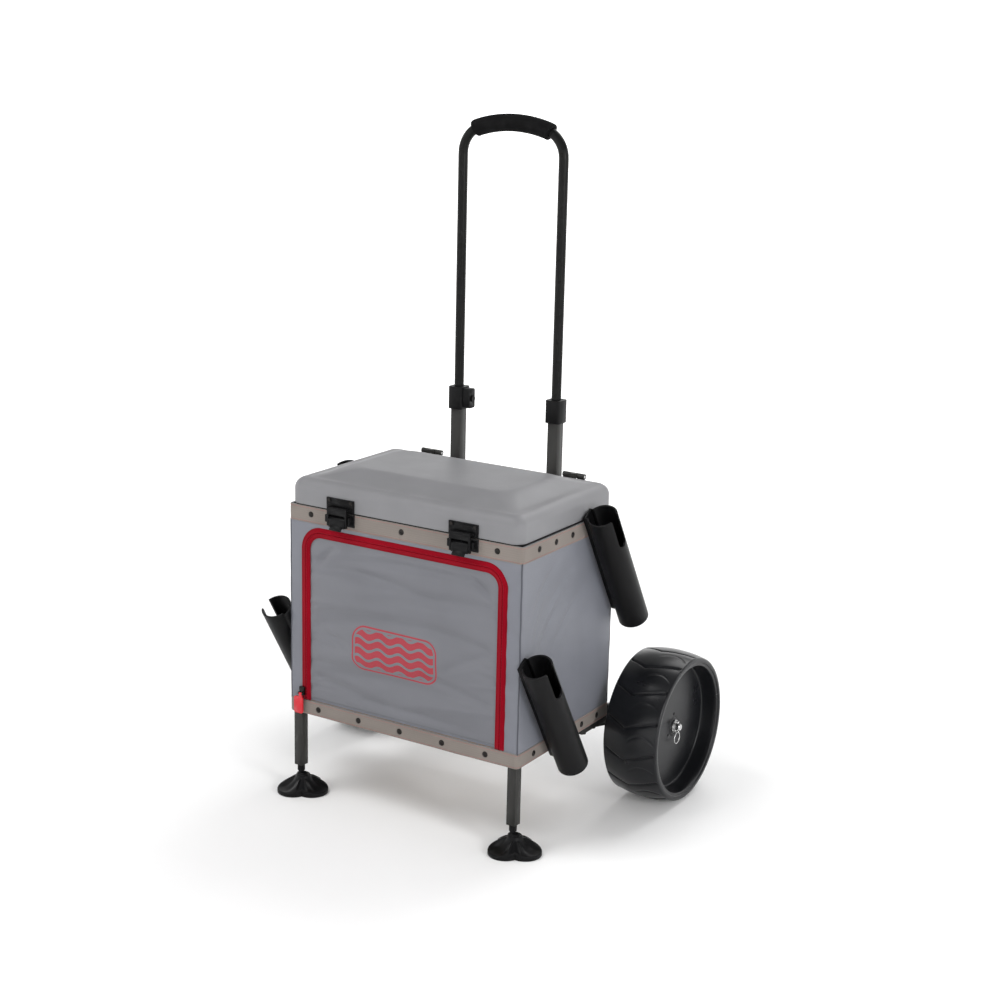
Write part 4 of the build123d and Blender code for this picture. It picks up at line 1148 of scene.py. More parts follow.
@dataclass
class Door:
    """The padded door: blown up as cloth, sewn flat at its edge, rumpled across."""

    margin: float = 0.9 * MM
    thickness: float = 4.6 * MM
    voxel: float = 4.4 * MM
    pressure: float = 4.0
    frames: int = 20
    most_out: float = 6.5 * MM
    most_in: float = 3.0 * MM
    seam: float = 8.0 * MM
    fold_scale: float = 3.0
    pucker_pitch: float = 17.0 * MM
    seed: int = 5

    def build(self, line: ZipLine) -> None:
        """Makes the pad with its simulation, its folds and its hem, and hands it over.

        Args:
            line: the zip's line, inside which the pad lies.
        """
        outline = line.path(-self.margin, 6 * MM)[0][:, [0, 2]]
        front, back = line.face - 0.5 * MM, line.face - 0.5 * MM + self.thickness
        count = len(outline)
        points = np.array([(x, y, z) for y in (front, back) for x, z in outline])
        faces = [list(range(count)), list(range(2 * count - 1, count - 1, -1))]
        faces += [[i, i + count, (i + 1) % count + count, (i + 1) % count] for i in range(count)]
        pad = face_out(mesh_object("door_pad", points, faces), 0.0)
        remesh = pad.modifiers.new("even", "REMESH")
        remesh.mode, remesh.voxel_size = "VOXEL", self.voxel
        applied(pad)
        rest = coordinates(pad.data)
        self._blow(pad, line, rest)
        self._cap(pad, rest, (front + back) / 2)
        finer = pad.modifiers.new("finer", "SUBSURF")
        finer.levels = finer.render_levels = 1
        applied(pad)
        points = coordinates(pad.data)
        outer = points[:, 1] < (front + back) / 2
        self._rumple(points, line, outer)
        pad.data.vertices.foreach_set("co", points.ravel())
        pad.data.polygons.foreach_set("use_smooth", [True] * len(pad.data.polygons))
        lay_cloth(pad.data, points[:, [0, 2]])
        outside = pad.data.attributes.new("outside", "FLOAT", "POINT")
        outside.data.foreach_set("value", outer.astype(float))
        pad.data.update()
        finish_piece(pad, DOOR_FABRIC, "grey_fabric", "door", "door_panel")
        self._hem(line)

    def _blow(self, pad: Object, line: ZipLine, rest: np.ndarray) -> None:
        """Blows the pad up with its edge held still.

        Args:
            pad: the pad, whose mesh is changed.
            line: the zip's line.
            rest: the pad's points before.
        """
        sd = line.distance(rest[:, 0], rest[:, 2])[0]
        held = pad.vertex_groups.new(name="held")
        held.add([int(i) for i in np.nonzero(sd > -self.seam)[0]], 1.0, "REPLACE")
        cloth = pad.modifiers.new("cloth", "CLOTH")
        cloth.settings.quality = 5
        cloth.settings.mass = 0.3
        cloth.settings.tension_stiffness = 12
        cloth.settings.compression_stiffness = 12
        cloth.settings.bending_stiffness = 0.4
        cloth.settings.use_pressure = True
        cloth.settings.uniform_pressure_force = self.pressure
        cloth.settings.vertex_group_mass = "held"
        cloth.settings.effector_weights.gravity = 0.0
        cloth.collision_settings.use_collision = False
        for number in range(1, self.frames + 1):
            bpy.context.scene.frame_set(number)
        applied(pad)

    def _cap(self, pad: Object, rest: np.ndarray, middle: float) -> None:
        """Keeps the pad's fullness within what its filling allows.

        Args:
            pad: the pad, whose points are moved.
            rest: the pad's points before it was blown up.
            middle: the place of its middle from front to back; not used.
        """
        points = coordinates(pad.data)
        move = points - rest
        move[:, 1] = np.clip(move[:, 1], -self.most_out, self.most_in)
        move[:, [0, 2]] = np.clip(move[:, [0, 2]], -2 * MM, 2 * MM)
        pad.data.vertices.foreach_set("co", (rest + move).ravel())
        pad.data.update()

    def _rumple(self, points: np.ndarray, line: ZipLine, outer: np.ndarray) -> None:
        """Adds the long soft folds that lie across the door and the short puckers beside its seams.

        Args:
            points: the pad's points, which are moved.
            line: the zip's line.
            outer: whether each point is on the pad's outer side.
        """
        sd = line.distance(points[:, 0], points[:, 2])[0]
        ease = soft_step(-sd, self.seam, self.seam + 18 * MM)
        pick = np.random.default_rng(self.seed)
        puckers = []
        for edge in (-1.0, 1.0):
            for level in np.arange(line.bottom + 22 * MM, line.top - 30 * MM, self.pucker_pitch):
                long = pick.uniform(0.016, 0.048)
                puckers.append((edge * (line.x - 9 * MM - 0.5 * long), level + pick.uniform(-6, 6) * MM,
                                edge * pick.uniform(-18, 8), long, pick.uniform(0.0035, 0.0065),
                                pick.uniform(-1.6, 1.1) * MM))
        folds = [(-0.06, 0.40, -4, 0.13, 0.010, -2.0 * MM), (0.07, 0.385, 5, 0.11, 0.011, -1.6 * MM),
                 (-0.10, 0.345, 3, 0.10, 0.012, 1.4 * MM), (0.05, 0.335, -3, 0.14, 0.010, -1.5 * MM),
                 (-0.02, 0.235, 2, 0.15, 0.011, -1.5 * MM), (0.10, 0.215, 6, 0.09, 0.010, 1.3 * MM),
                 (-0.12, 0.205, -7, 0.08, 0.010, -1.5 * MM), (0.00, 0.190, 0, 0.16, 0.009, -1.1 * MM),
                 (0.13, 0.30, 24, 0.05, 0.008, -1.1 * MM), (-0.14, 0.29, -18, 0.05, 0.008, -1.0 * MM),
                 (0.02, 0.43, 1, 0.15, 0.008, -1.3 * MM), (-0.15, 0.42, 38, 0.03, 0.006, -1.2 * MM),
                 (0.15, 0.42, -38, 0.03, 0.006, -1.2 * MM), (-0.04, 0.375, 2, 0.14, 0.02, 1.3 * MM),
                 (0.06, 0.29, -3, 0.13, 0.018, 1.0 * MM), (-0.05, 0.265, 4, 0.12, 0.012, 1.0 * MM),
                 (-0.11, 0.315, 9, 0.07, 0.009, -1.2 * MM), (0.09, 0.25, -8, 0.07, 0.009, -1.2 * MM)]
        side = np.where(outer, -self.fold_scale, -0.7 * self.fold_scale)
        points[:, 1] += side * creases(points[:, 0], points[:, 2], folds) * ease
        sewn = soft_step(-sd, 2 * MM, 9 * MM) * outer
        points[:, 1] -= creases(points[:, 0], points[:, 2], puckers) * sewn

    def _hem(self, line: ZipLine) -> None:
        """Makes the strip of cloth that the door turns on, sewn to the wall and the door.

        Args:
            line: the zip's line.
        """
        x = np.linspace(-line.x + 2 * MM, line.x - 2 * MM, 75)
        z = np.linspace(line.bottom - 9 * MM, line.bottom + 8 * MM, 15)
        grid_x, grid_z = np.meshgrid(x, z)
        y = np.full_like(grid_x, line.face + 2.4 * MM) - 0.15 * MM * np.sin(grid_x * 400)
        points = np.stack([grid_x, y, grid_z], 2).reshape(-1, 3)
        hem = mesh_object("door_hem", points, grid_faces(len(z), len(x)), points[:, [0, 2]])
        thicken(hem, 0.8 * MM)
        finish_piece(hem, FABRIC, "grey_fabric", None)
        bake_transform(hem, "chassis", "door", start=(0, line.face, line.bottom - 2 * MM),
                 end=(0, line.face, line.bottom + 2.5 * MM))


@dataclass
class Zip:
    """The zip: two tape halves, their teeth and the thread that holds the tape."""

    tooth: tuple[float, float, float] = (1.7 * MM, 1.0 * MM, 0.7 * MM)
    tooth_level: float = 1.0 * MM
    pitch: float = 2.4 * MM
    height: float = 1.35 * MM
    stitch: tuple[float, float] = (2.3 * MM, 0.3 * MM)
    stitch_pitch: float = 3.3 * MM
    stitch_at: float = 6.9 * MM
    half: float = 8.6

    def build(self, line: ZipLine) -> None:
        """Makes both halves and hands each over to its body.

        Args:
            line: the zip's line.
        """
        for sign, body, node in ((1.0, "chassis", "zip_tape_box"), (-1.0, "door", "zip_tape_door")):
            self._half(line, sign, body, node)

    def _half(self, line: ZipLine, sign: float, body: str, node: str) -> None:
        """Makes one half of the zip.

        Args:
            line: the zip's line.
            sign: 1 for the box's half, -1 for the door's.
            body: the body it rides on.
            node: the CAD node that it stands for.
        """
        high, top, half = self.height, self.height / MM, self.half
        base = [(0.5, -0.5), (0.5, top), (1.2, top + 0.3), (2.7, top + 0.25), (3.1, top - 0.15),
                (half - 1.3, top - 0.15), (half - 0.4, top - 0.4), (half, -0.5)]
        profile = [(sign * a * MM, b * MM) for a, b in base]
        path, out, along = line.path(0.0)
        facing = np.tile((0.0, -1.0, 0.0), (len(path), 1))
        tape = sweep(f"zip_tape_{body}", path, facing, out, profile, False, along)
        finish_piece(tape, ZIP_TAPE, "red_tape", body, node)
        for label, offset, item, spacing, level in (
                ("teeth", self.tooth[0] * 0.3, self._tooth(), self.pitch, self.tooth_level),
                ("thread", self.stitch_at, capsule(*self.stitch), self.stitch_pitch, high - 0.1 * MM)):
            points = line.path(sign * offset, 2 * MM)[0]
            points[:, 1] -= level
            rows = repeat(f"zip_{label}_{body}", Layout.PATH, path_object("line", points, False), item,
                          RED_THREAD, spacing, (0.0, -1.0, 0.0))
            finish_piece(rows, RED_THREAD, "red_tape", body)

    def _tooth(self) -> Object:
        """One tooth of the coil: a small block with its top edges taken off."""
        length, wide, high = self.tooth
        corners = ((-0.5, -0.5), (0.5, -0.5), (0.5, 0.5), (-0.5, 0.5))
        points = np.array([(wide * (k * a), length * (k * b), high * c)
                           for c, k in ((-0.6, 1.0), (0.4, 1.0), (0.9, 0.6)) for a, b in corners])
        made = mesh_object("tooth", points, grid_faces(3, 4, False, True) + end_caps(3, 4), smooth=False)
        return face_out(made, 0.0)


@dataclass
class Trim:
    """The two webbing bands round the box, their stitches and their press studs."""

    heights: tuple[float, float] = (27.0 * MM, 24.0 * MM)
    thickness: float = 1.0 * MM
    crown: float = 0.35 * MM
    corner: float = 7.0 * MM
    stitch_in: float = 2.4 * MM
    stitch: float = 2.7 * MM
    stitch_pitch: float = 3.9 * MM
    stud: tuple[tuple[float, float], ...] = (
        (0.0, 2.3), (1.3, 2.25), (2.4, 1.95), (3.1, 1.35), (3.35, 0.95), (3.7, 0.9), (4.3, 1.0),
        (4.75, 0.75), (4.9, 0.3), (4.9, -0.4), (0.0, -0.4))

    def build(self) -> None:
        """Makes bands, stitches and studs and hands them over."""
        low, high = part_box("webbing_bands")
        levels = {"top": high.z - self.heights[0] / 2, "bottom": low.z + self.heights[1] / 2}
        for (label, middle), height in zip(levels.items(), self.heights):
            path, out, along = rounded_rectangle(low, high, self.corner, 5 * MM)
            outs = np.insert(out, 2, 0.0, 1)
            wave = 0.22 * MM * np.sin(along * 41.0) + 0.12 * MM * np.sin(along * 97.0 + 1.0)
            centers = np.insert(path, 2, middle, 1) + outs * wave[:, None] * 0.6
            centers[:, 2] += wave
            half, t = height / 2, self.thickness
            ends = [(-half, -t), (-half, -0.35 * t), (-half + 0.5 * MM, 0.0)]
            ends += [(half * k, self.crown * (1 - k * k)) for k in (-0.85, -0.5, 0.0, 0.5, 0.85)]
            ends += [(half - 0.5 * MM, 0.0), (half, -0.35 * t), (half, -t)]
            ups = np.tile((0.0, 0.0, 1.0), (len(path), 1))
            band = sweep(f"band_{label}", centers, outs, ups, ends, True, along)
            nodes = ("webbing_bands",) if label == "top" else ()
            finish_piece(band, WEBBING, "webbing", "chassis", *nodes)
            for edge, sign in (("upper", 1.0), ("lower", -1.0)):
                level = sign * (half - self.stitch_in)
                points = centers + outs * 0.25 * MM
                points[:, 2] += level
                row = repeat(f"band_{label}_{edge}_stitches", Layout.PATH, path_object("line", points, True),
                             capsule(self.stitch, 0.38 * MM), THREAD, self.stitch_pitch)
                finish_piece(row, THREAD, "webbing", "chassis")
        self._studs()

    def _studs(self) -> None:
        """Sets a domed stud wherever the frame has one."""
        node = bpy.data.objects["press_studs"]
        low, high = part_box("webbing_bands")
        centers, facing = [], []
        for group in islands(node):
            middle = (group.min(0) + group.max(0)) / 2
            out = np.zeros(3)
            gaps = {(0, -1.0): middle[0] - low.x, (0, 1.0): high.x - middle[0],
                    (1, -1.0): middle[1] - low.y, (1, 1.0): high.y - middle[1]}
            axis, sign = min(gaps, key=gaps.get)
            out[axis] = sign
            middle[axis] = (low, high)[sign > 0][axis]
            centers.append(middle)
            facing.append(out)
        base = path_object("stud_points", np.array(centers), False)
        directions = base.data.attributes.new("facing", "FLOAT_VECTOR", "POINT")
        directions.data.foreach_set("vector", np.ravel(facing))
        dome = revolved("stud", [(r * MM, z * MM) for r, z in self.stud], 20)
        finish = SLOT_FINISHES["dark_metal"]
        studs = repeat("band_studs", Layout.POINTS, base, dome, finish)
        finish_piece(studs, finish, "dark_metal", "chassis", "press_studs")


# ---- Hard parts ----
@dataclass
class Lid:
    """The moulded seat lid: rounded shoulders and a raised middle."""

    corner: float = 18.0
    slab: float = 42.0
    wall: float = 2.9
    underside: float = 4.0
    plateau: tuple[float, float] = (21.0, 52.0)
    rise: float = 16.0

    def build(self) -> None:
        """Lofts the lid through its rings and hands it over."""
        low, high = (np.array(corner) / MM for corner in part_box("lid_shell"))
        z0 = low[2]
        top = z0 + self.slab
        wall = self.wall
        even = [(wall + 60, z0 + self.underside), (wall, z0 + self.underside), (wall, z0 + 1.0),
                (wall - 0.5, z0 + 0.1), (0.9, z0 + 0.1), (0.25, z0 + 0.4), (0, z0 + 1.2), (0, z0 + 3.0),
                (0, z0 + 12.0), (0, top - self.corner)]
        even += [(self.corner * (1 - math.cos(a)), top - self.corner + self.corner * math.sin(a))
                 for a in np.radians(np.linspace(0, 90, 11))[1:]]
        rings = [(inset, inset, inset, z) for inset, z in even]
        start, run = self.plateau
        for share in np.linspace(0, 1, 15):
            inset = start + run * share
            level = top + self.rise * float(soft_step(np.array(share), 0.0, 1.0))
            rings.append((inset, inset - 3.0 * share, inset, level))
        rings += [(90.0, 84.0, 89.0, high[2] - 0.05), (120.0, 105.0, 115.0, high[2] - 0.15)]
        rows = []
        for side, front, rear, z in rings:
            radius = max(self.corner - 0.66 * min(side, 18.0), 6.0) + max(0.0, min(side, 73.0) - 20.0) * 0.6
            radius = min(radius, 0.4 * (high[1] - low[1] - front - rear))
            ring = self._ring(low + (side, front, 0), high - (side, rear, 0), radius)
            rows.append(np.insert(ring, 2, z, 1))
        columns = len(rows[0])
        points = np.concatenate(rows) * MM
        faces = grid_faces(len(rows), columns, False, True) + end_caps(len(rows), columns)
        lid = face_out(mesh_object("lid_moulding", points, faces), 0.0)
        finish_piece(lid, SLOT_FINISHES["lid_plastic"], "lid_plastic", "lid", "lid_shell")

    @staticmethod
    def _ring(low: np.ndarray, high: np.ndarray, radius: float, straight: int = 16,
              turns: int = 12) -> np.ndarray:
        """A rounded rectangle with the same number of points whatever its size.

        Args:
            low: its lowest corner.
            high: its highest corner.
            radius: its corners' radius.
            straight: how many steps a side has.
            turns: how many steps a corner has.
        Returns:
            Its points.
        """
        centers = [(high[0] - radius, low[1] + radius, -90), (high[0] - radius, high[1] - radius, 0),
                   (low[0] + radius, high[1] - radius, 90), (low[0] + radius, low[1] + radius, 180)]
        corners = []
        for cx, cy, start in centers:
            a = np.radians(np.linspace(start, start + 90, turns + 1))
            corners.append(np.stack([cx + radius * np.cos(a), cy + radius * np.sin(a)], 1))
        ring = []
        for i, corner in enumerate(corners):
            ring.append(corner)
            follow = corners[(i + 1) % 4][0]
            share = np.linspace(0, 1, straight + 1)[1:-1, None]
            ring.append(corner[-1] + (follow - corner[-1]) * share)
        return np.concatenate(ring)


@dataclass
class Wheel:
    """A wide plastic wheel: chevron grooves in a crowned tread, a stepped lip and a disc set deep inside."""

    side: int
    columns: int = 540
    grooves: int = 14
    apex: float = 0.4
    lead: tuple[float, float] = (0.15, 0.16)
    groove: tuple[float, float] = (2.6, 1.9)
    arc: tuple[float, float] = (1.0, 1.7)
    edge: float = 6.3
    hub: float = 15.0
    bore: float = 6.2
    disc_in: float = 29.5
    disc: float = 6.0
    holes: tuple[float, float] = (21.0, 2.5)
    hole_depth: float = 4.0

    def build(self) -> None:
        """Turns the section round the axle, presses in the grooves and hands the wheel over."""
        name = "wheel_right" if self.side > 0 else "wheel_left"
        low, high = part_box(name)
        wide, radius = (high.x - low.x) / MM, (high.z - low.z) / 2 / MM
        section = self._section(wide, radius)
        turn = np.arange(self.columns) * 2 * math.pi / self.columns
        u = np.broadcast_to(section[:, None, 0], (len(section), self.columns)).copy()
        r = np.broadcast_to(section[:, None, 1], u.shape).copy()
        angle = np.broadcast_to(turn, u.shape)
        tread = np.broadcast_to(section[:, None, 2], u.shape)
        r -= self._press(u / wide, angle, radius) * tread
        u -= self._holes(u, r, angle, wide)
        x = (low.x / MM + u) if self.side > 0 else (high.x / MM - u)
        y = (low.y + high.y) / 2 / MM - r * np.sin(angle)
        z = (low.z + high.z) / 2 / MM + r * np.cos(angle)
        points = np.stack([x, y, z], 2).reshape(-1, 3) * MM
        wheel = mesh_object(f"{name}_tyre", points, grid_faces(len(section), self.columns, True, True))
        face_out(wheel, 0.0)
        finish_piece(wheel, SLOT_FINISHES["wheel_plastic"], "wheel_plastic", name, name)

    def _section(self, wide: float, radius: float) -> np.ndarray:
        """The wheel's section from its inner edge over the tread and back through the hub.

        Args:
            wide: the wheel's width, in millimetres.
            radius: its largest radius.
        Returns:
            Rows of distance from the inner face, radius, and how strongly the tread's grooves press there.
        """
        brow, lip, recess = radius - self.edge, radius - 14.0, radius - 19.0
        hub, bore, face, back = self.hub, self.bore, wide - self.disc_in, wide - self.disc_in - self.disc
        start = [(0.0, brow - 3.4), (0.25, brow - 1.8), (0.9, brow - 0.6)]
        tread = [(wide * share, radius - self.edge * (2 * share - 1) ** 2,
                  float(soft_step(np.array(min(share, 1 - share)), 0.02, 0.06)))
                 for share in np.linspace(0.022, 0.978, 54)]
        end = [(wide - 0.9, brow - 0.6), (wide - 0.25, brow - 1.8), (wide, brow - 3.4), (wide, lip + 1.0),
               (wide - 0.3, lip + 0.3), (wide - 1.2, lip), (wide - 1.9, lip - 0.3), (wide - 2.1, lip - 1.0),
               (wide - 2.1, recess + 1.2), (wide - 2.5, recess + 0.4), (wide - 3.4, recess),
               (wide - 10, recess - 0.8), (wide - 20, recess - 1.9), (face + 2.6, recess - 3.0),
               (face + 1.0, recess - 3.6), (face + 0.2, recess - 5.0), (face, recess - 7.0),
               (face - 0.4, 70.0), (face - 0.2, 40.0), (face, 27.0)]
        end += [(face, r) for r in np.arange(24.5, 17.4, -0.5)]
        end += [(face + 0.2, hub + 1.0), (face + 0.9, hub + 0.2), (face + 1.4, hub - 0.7),
                (face + 1.5, hub - 1.6), (face + 1.5, bore + 0.6), (face + 1.0, bore), (0.8, bore),
                (0.0, bore + 0.6), (0.0, hub - 0.8), (0.8, hub), (back - 2.0, hub + 0.6), (back, hub + 3.0),
                (back, recess - 6.0), (back - 2.0, recess - 3.4), (3.4, recess), (2.3, recess + 0.4),
                (2.1, recess + 1.2), (2.1, lip - 1.0), (1.2, lip), (0.3, lip + 0.3), (0.0, lip + 1.0)]
        plain = [[(u, r, 0.0) for u, r in rows] for rows in (start, end)]
        return np.array(plain[0] + tread + plain[1])

    def _press(self, share: np.ndarray, angle: np.ndarray, radius: float) -> np.ndarray:
        """How deep the tread's pattern goes.

        Args:
            share: each point's place across the tread, from 0 to 1.
            angle: its angle round the axle.
            radius: the wheel's largest radius, in millimetres.
        Returns:
            The depth at each point, in millimetres.
        """
        period = 2 * math.pi / self.grooves
        inner, outer = self.lead
        lag = np.where(share < self.apex, inner * (self.apex - share) / self.apex,
                       outer * (share - self.apex) / (1 - self.apex))
        phase = np.mod(angle + lag, period) / period
        gap = np.minimum(phase, 1 - phase) * period * radius
        deep, wide = self.groove
        press = deep * np.exp(-(gap / wide) ** 4) + 0.9 * (1 - np.sin(np.pi * phase)) ** 2
        bow = 0.34 + 0.22 * ((share - 0.72) / 0.24) ** 2
        curved = (np.mod(angle + 0.2 * period, period) / period - bow) * period * radius
        there = soft_step(share, 0.46, 0.54) * soft_step(-share, -0.97, -0.9)
        return press + self.arc[0] * np.exp(-(curved / self.arc[1]) ** 2) * there

    def _holes(self, u: np.ndarray, r: np.ndarray, angle: np.ndarray, wide: float) -> np.ndarray:
        """How far each point of the outer disc sinks into its three small holes.

        Args:
            u: each point's distance from the inner face.
            r: its radius.
            angle: its angle round the axle.
            wide: the wheel's width, in millimetres.
        Returns:
            The depth at each point, in millimetres.
        """
        ring, hole = self.holes
        sunk = np.zeros_like(u)
        outer = np.abs(u - (wide - self.disc_in)) < 0.05
        for step in range(3):
            a = math.radians(120 * step)
            far = np.hypot(r * np.cos(angle) - ring * math.cos(a), r * np.sin(angle) - ring * math.sin(a))
            sunk += np.where(outer & (far < hole), self.hole_depth, 0.0)
        return sunk


@dataclass
class Foot:
    """A levelling foot: three cupped petals round a socket that holds the leg's ball."""

    side: int
    lobe: tuple[float, float] = (18.0, 27.0)
    ball: tuple[float, float] = (24.0, 9.2)
    mouth: float = 7.9
    leg_half: float = 8.0
    hub: float = 11.8
    petals: tuple[float, float, float] = (2.0, 122.0, 242.0)
    columns: int = 270

    def build(self) -> None:
        """Shapes the foot by its polar rule and hands it over."""
        name = "foot_right" if self.side > 0 else "foot_left"
        low, high = (np.array(corner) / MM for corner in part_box(name))
        turn = np.arange(self.columns) * 2 * math.pi / self.columns
        reach = self._reach(turn)
        rib = np.max([np.cos(turn - math.radians(a)) for a in self.petals], axis=0)
        level, ball = self.ball
        rows: list[tuple[Any, Any]] = [(max(ball * math.cos(a), 0.05), level + ball * math.sin(a))
                                       for a in np.radians(np.linspace(-90, 58, 15))]
        top, hub = high[2], self.hub
        rows += [(self.mouth, top - 0.9), (self.mouth + 0.6, top - 0.1), (self.mouth + 2.0, top),
                 (hub - 1.6, top - 0.2), (hub - 0.4, top - 1.4), (hub + 0.2, top - 4.0),
                 (hub + 0.8, top - 5.6)]
        petal = soft_step(rib, 0.8, 0.98)
        for share in np.linspace(0.05, 1.0, 15):
            r = hub + 1.0 + (reach - hub - 1.6) * share
            rise = math.sin(math.pi * share ** 0.8)
            z = self._crest(r) + rise * (2.8 * np.exp(-((rib - 0.74) / 0.05) ** 2) - 5.0 * petal)
            rows.append((r, z))
        rim = self._crest(reach)
        rows += [(reach - 0.1, rim - 0.9), (reach, rim - 2.2), (reach - 0.1, 1.0), (reach - 0.9, 0.0),
                 (reach - 2.6, 0.0), (reach - 3.0, 0.6), (reach - 3.2, np.maximum(rim - 4.2, 1.0))]
        for share in np.linspace(0.94, 0.02, 10):
            r = hub + (reach - hub - 3.4) * share
            cup = 3.4 * petal * math.sin(math.pi * share)
            rows.append((r, np.maximum(self._crest(r + 1.0) - 4.8 - cup, 1.0)))
        rows += [(hub - 0.2, 8.0), (hub - 1.2, 6.2), (0.05, 6.2)]
        x = (low[0] + high[0]) / 2
        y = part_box("leg_right" if self.side > 0 else "leg_left")[0][1] / MM + self.leg_half
        rings = [np.broadcast_arrays(x + r * np.cos(turn), y + r * np.sin(turn), z) for r, z in rows]
        points = np.concatenate([np.stack(ring, 1) for ring in rings]) * MM
        faces = grid_faces(len(rows), self.columns, False, True) + end_caps(len(rows), self.columns)
        foot = face_out(mesh_object(f"{name}_petals", points, faces), 0.0)
        finish_piece(foot, BLACK, "black_plastic", name, name)

    def _reach(self, turn: np.ndarray) -> np.ndarray:
        """The outline's radius.

        Args:
            turn: the directions.
        Returns:
            The radius in each, in millimetres.
        """
        out, r = self.lobe
        reach = np.zeros_like(turn)
        for start in self.petals:
            d = np.angle(np.exp(1j * (turn - math.radians(start))))
            inside = np.maximum(r * r - (out * np.sin(d)) ** 2, 0.0)
            reach = np.maximum(reach, out * np.cos(d) + np.sqrt(inside))
        return reach

    @staticmethod
    def _crest(r: np.ndarray) -> np.ndarray:
        """The height of the petals' upper face at a radius."""
        return np.interp(r, (11.8, 18.0, 27.0, 36.0, 45.0), (23.6, 19.8, 14.6, 10.4, 6.4))


@dataclass
class Softened:
    """A CAD part shown with its hard edges eased, as a mould or a press leaves them."""

    node: str
    slot: str
    body: str
    ease: float = 0.5
    angle: float = 38.0

    def build(self) -> None:
        """Copies the node's mesh, joins its triangles, eases its edges and hands the copy over."""
        piece = new_object(f"{self.node}_eased", bpy.data.objects[self.node].data.copy())
        work = bmesh.new()
        work.from_mesh(piece.data)
        bmesh.ops.remove_doubles(work, verts=work.verts, dist=2e-6)
        bmesh.ops.dissolve_limit(work, angle_limit=math.radians(1.0), verts=work.verts, edges=work.edges)
        work.to_mesh(piece.data)
        work.free()
        for layer in list(piece.data.attributes):
            if layer.name.startswith("custom_normal"):
                piece.data.attributes.remove(layer)
        bevel = piece.modifiers.new("ease", "BEVEL")
        bevel.width, bevel.segments, bevel.limit_method = self.ease * MM, 2, "ANGLE"
        bevel.angle_limit = math.radians(self.angle)
        bevel.use_clamp_overlap = True
        bevel.harden_normals = True
        applied(piece)
        piece.data.polygons.foreach_set("use_smooth", [True] * len(piece.data.polygons))
        piece.data.update()
        finish_piece(piece, SLOT_FINISHES[self.slot], self.slot, self.body, self.node)


# ---- Stage ----
@dataclass
class Stage:
    """Camera, lights and floor."""

    eye: Place = (1.5603, -2.44515, 1.2425)
    aim: Place = (0.0833, -0.06755, 0.5175)
    roll: float = 1.37
    lens: float = 65.54
    sensor: float = 36.0
    room_light: float = 0.42
    floor_sides: int = 96

    def build(self) -> None:
        """Makes the stage."""
        self._camera()
        self._light("key", (-1.2, -1.5, 3.3), (0.0, -0.05, 0.5), 1.6, 50.0)
        self._light("side", (3.0, -1.1, 1.3), (0.1, -0.1, 0.35), 0.8, 33.0)
        self._light("back", (0.3, 2.2, 3.0), (0.0, 0.0, 0.5), 2.0, 50.0)
        world = bpy.data.worlds.new("soft_room")
        bpy.context.scene.world = world
        world.use_nodes = True
        color, strength = world.node_tree.nodes["Background"].inputs[:2]
        color.default_value, strength.default_value = (1.0, 1.0, 1.0, 1.0), self.room_light
        bpy.context.scene.view_settings.view_transform = "Standard"
        self._floor()

    def _camera(self) -> None:
        """Sets the camera where the cart is seen from its front right corner."""
        forward = (Vector(self.aim) - Vector(self.eye)).normalized()
        right = forward.cross(Vector((0, 0, 1))).normalized()
        up = right.cross(forward)
        r = math.radians(self.roll)
        across, above = right * math.cos(r) + up * math.sin(r), -right * math.sin(r) + up * math.cos(r)
        camera = bpy.data.objects.new("camera", bpy.data.cameras.new("camera"))
        camera.data.lens, camera.data.sensor_width = self.lens, self.sensor
        turn = Matrix((across, above, -forward)).transposed().to_4x4()
        camera.matrix_world = Matrix.Translation(self.eye) @ turn
        bpy.context.scene.collection.objects.link(camera)
        bpy.context.scene.camera = camera

    @staticmethod
    def _light(name: str, place: Place, aim: Place, size: float, power: float) -> None:
        """Adds a soft square light.

        Args:
            name: the light's name.
            place: where it hangs.
            aim: the point that it faces.
            size: its side, in metres.
            power: its power, in watts.
        """
        lamp = bpy.data.lights.new(name, "AREA")
        lamp.size, lamp.energy = size, power
        holder = bpy.data.objects.new(name, lamp)
        turn = (Vector(place) - Vector(aim)).to_track_quat("Z", "Y").to_matrix().to_4x4()
        holder.matrix_world = Matrix.Translation(place) @ turn
        bpy.context.scene.collection.objects.link(holder)

    def _floor(self) -> None:
        """Lays a wide pale floor under the cart, curved up into a wall far behind it."""
        sides = self.floor_sides
        rings = [(0.4, 0.0), (2.0, 0.0), (5.0, 0.0), (9.0, 0.0)]
        rings += [(9.0 + 3.0 * math.sin(a), 3.0 - 3.0 * math.cos(a))
                  for a in np.radians(np.arange(10, 91, 10))]
        rings.append((12.0, 5.0))
        points = np.array([(r * math.cos(a), r * math.sin(a), z) for r, z in rings
                           for a in np.arange(sides) * 2 * math.pi / sides])
        faces = grid_faces(len(rings), sides, False, True) + [list(range(sides))]
        floor = mesh_object("floor", points, faces)
        face_out(floor, 0.0)
        if floor.data.polygons[0].normal.z < 0:
            floor.data.flip_normals()
        finish = PaleFloor("pale_floor", (0.96, 0.96, 0.96), 0.85, 0.05)
        floor.data.materials.append(finish.material())


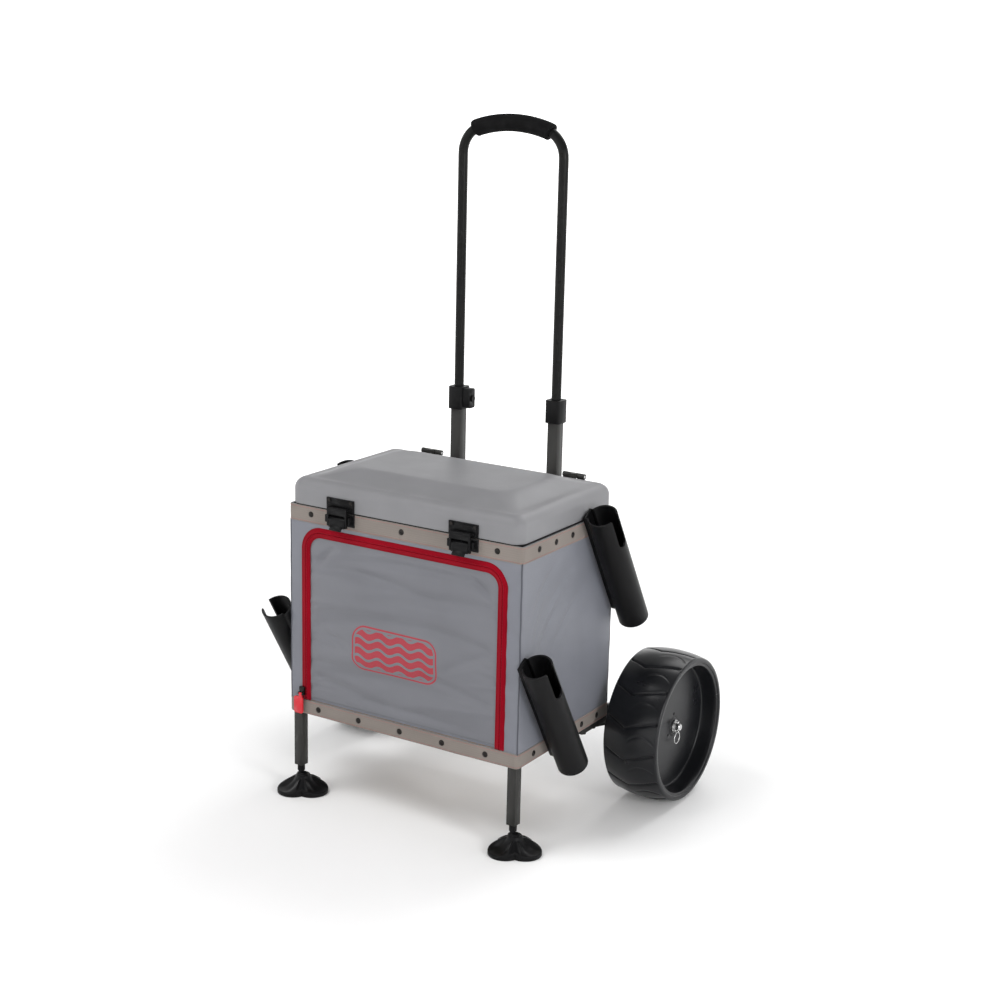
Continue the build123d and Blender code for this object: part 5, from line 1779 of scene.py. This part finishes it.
@dataclass
class Cart:
    """The whole cart, built round its frame."""

    frame: dict[str, Any]

    def dress_frame(self) -> None:
        """Gives every CAD node its finish by its material slot."""
        for node in self.frame["nodes"].values():
            for slot in node.material_slots:
                slot.material = SLOT_FINISHES[slot.material.name.split(".")[0]].material()

    def build(self) -> None:
        """Builds each sub-assembly in turn."""
        line = ZipLine()
        parts: list[tuple[str, Callable[[], None]]] = [
            ("box cover", lambda: BoxCover().build(line)), ("door", lambda: Door().build(line)),
            ("zip", lambda: Zip().build(line)), ("trim", Trim().build), ("lid", Lid().build)]
        parts += [(f"wheel {side}", Wheel(side).build) for side in (1, -1)]
        parts += [(f"foot {side}", Foot(side).build) for side in (1, -1)]
        parts += [(part.node, part.build) for part in self._eased()]
        for label, make in parts:
            LOG.info("building %s", label)
            make()

    @staticmethod
    def _eased() -> list[Softened]:
        """The CAD parts whose edges are eased."""
        rows: list[tuple[Any, ...]] = [
            ("latch_bases", "black_plastic", "chassis"), ("latch_strikes", "black_plastic", "lid"),
            ("collar_right", "black_plastic", "chassis", 1.2),
            ("collar_left", "black_plastic", "chassis", 1.2),
            ("handle_saddles", "frame_steel", "chassis"), ("axle_brackets", "frame_steel", "chassis"),
            ("handle_grip", "foam", "handle", 4.0), ("zip_slider", "dark_metal", "zip_slider"),
            ("zip_pull", "red_plastic", "zip_pull", 0.6)]
        for side in ("right", "left"):
            rows += [(f"latch_lever_{side}", "black_plastic", f"latch_lever_{side}", 0.8),
                     (f"latch_bail_{side}", "black_plastic", f"latch_bail_{side}"),
                     (f"handle_sleeve_{side}", "frame_steel", "chassis", 2.0),
                     (f"leg_{side}", "frame_steel", f"leg_{side}", 1.6),
                     (f"rod_holder_front_{side}", "black_plastic", "chassis", 0.9),
                     (f"rod_holder_rear_{side}", "black_plastic", "chassis", 0.9)]
        return [Softened(*row) for row in rows]


def main() -> None:
    """Builds the stage and the cart."""
    logging.basicConfig(level=logging.INFO, format="%(name)s: %(message)s")
    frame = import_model()
    Stage().build()
    cart = Cart(frame)
    cart.dress_frame()
    cart.build()


if __name__ == "__main__":
    main()
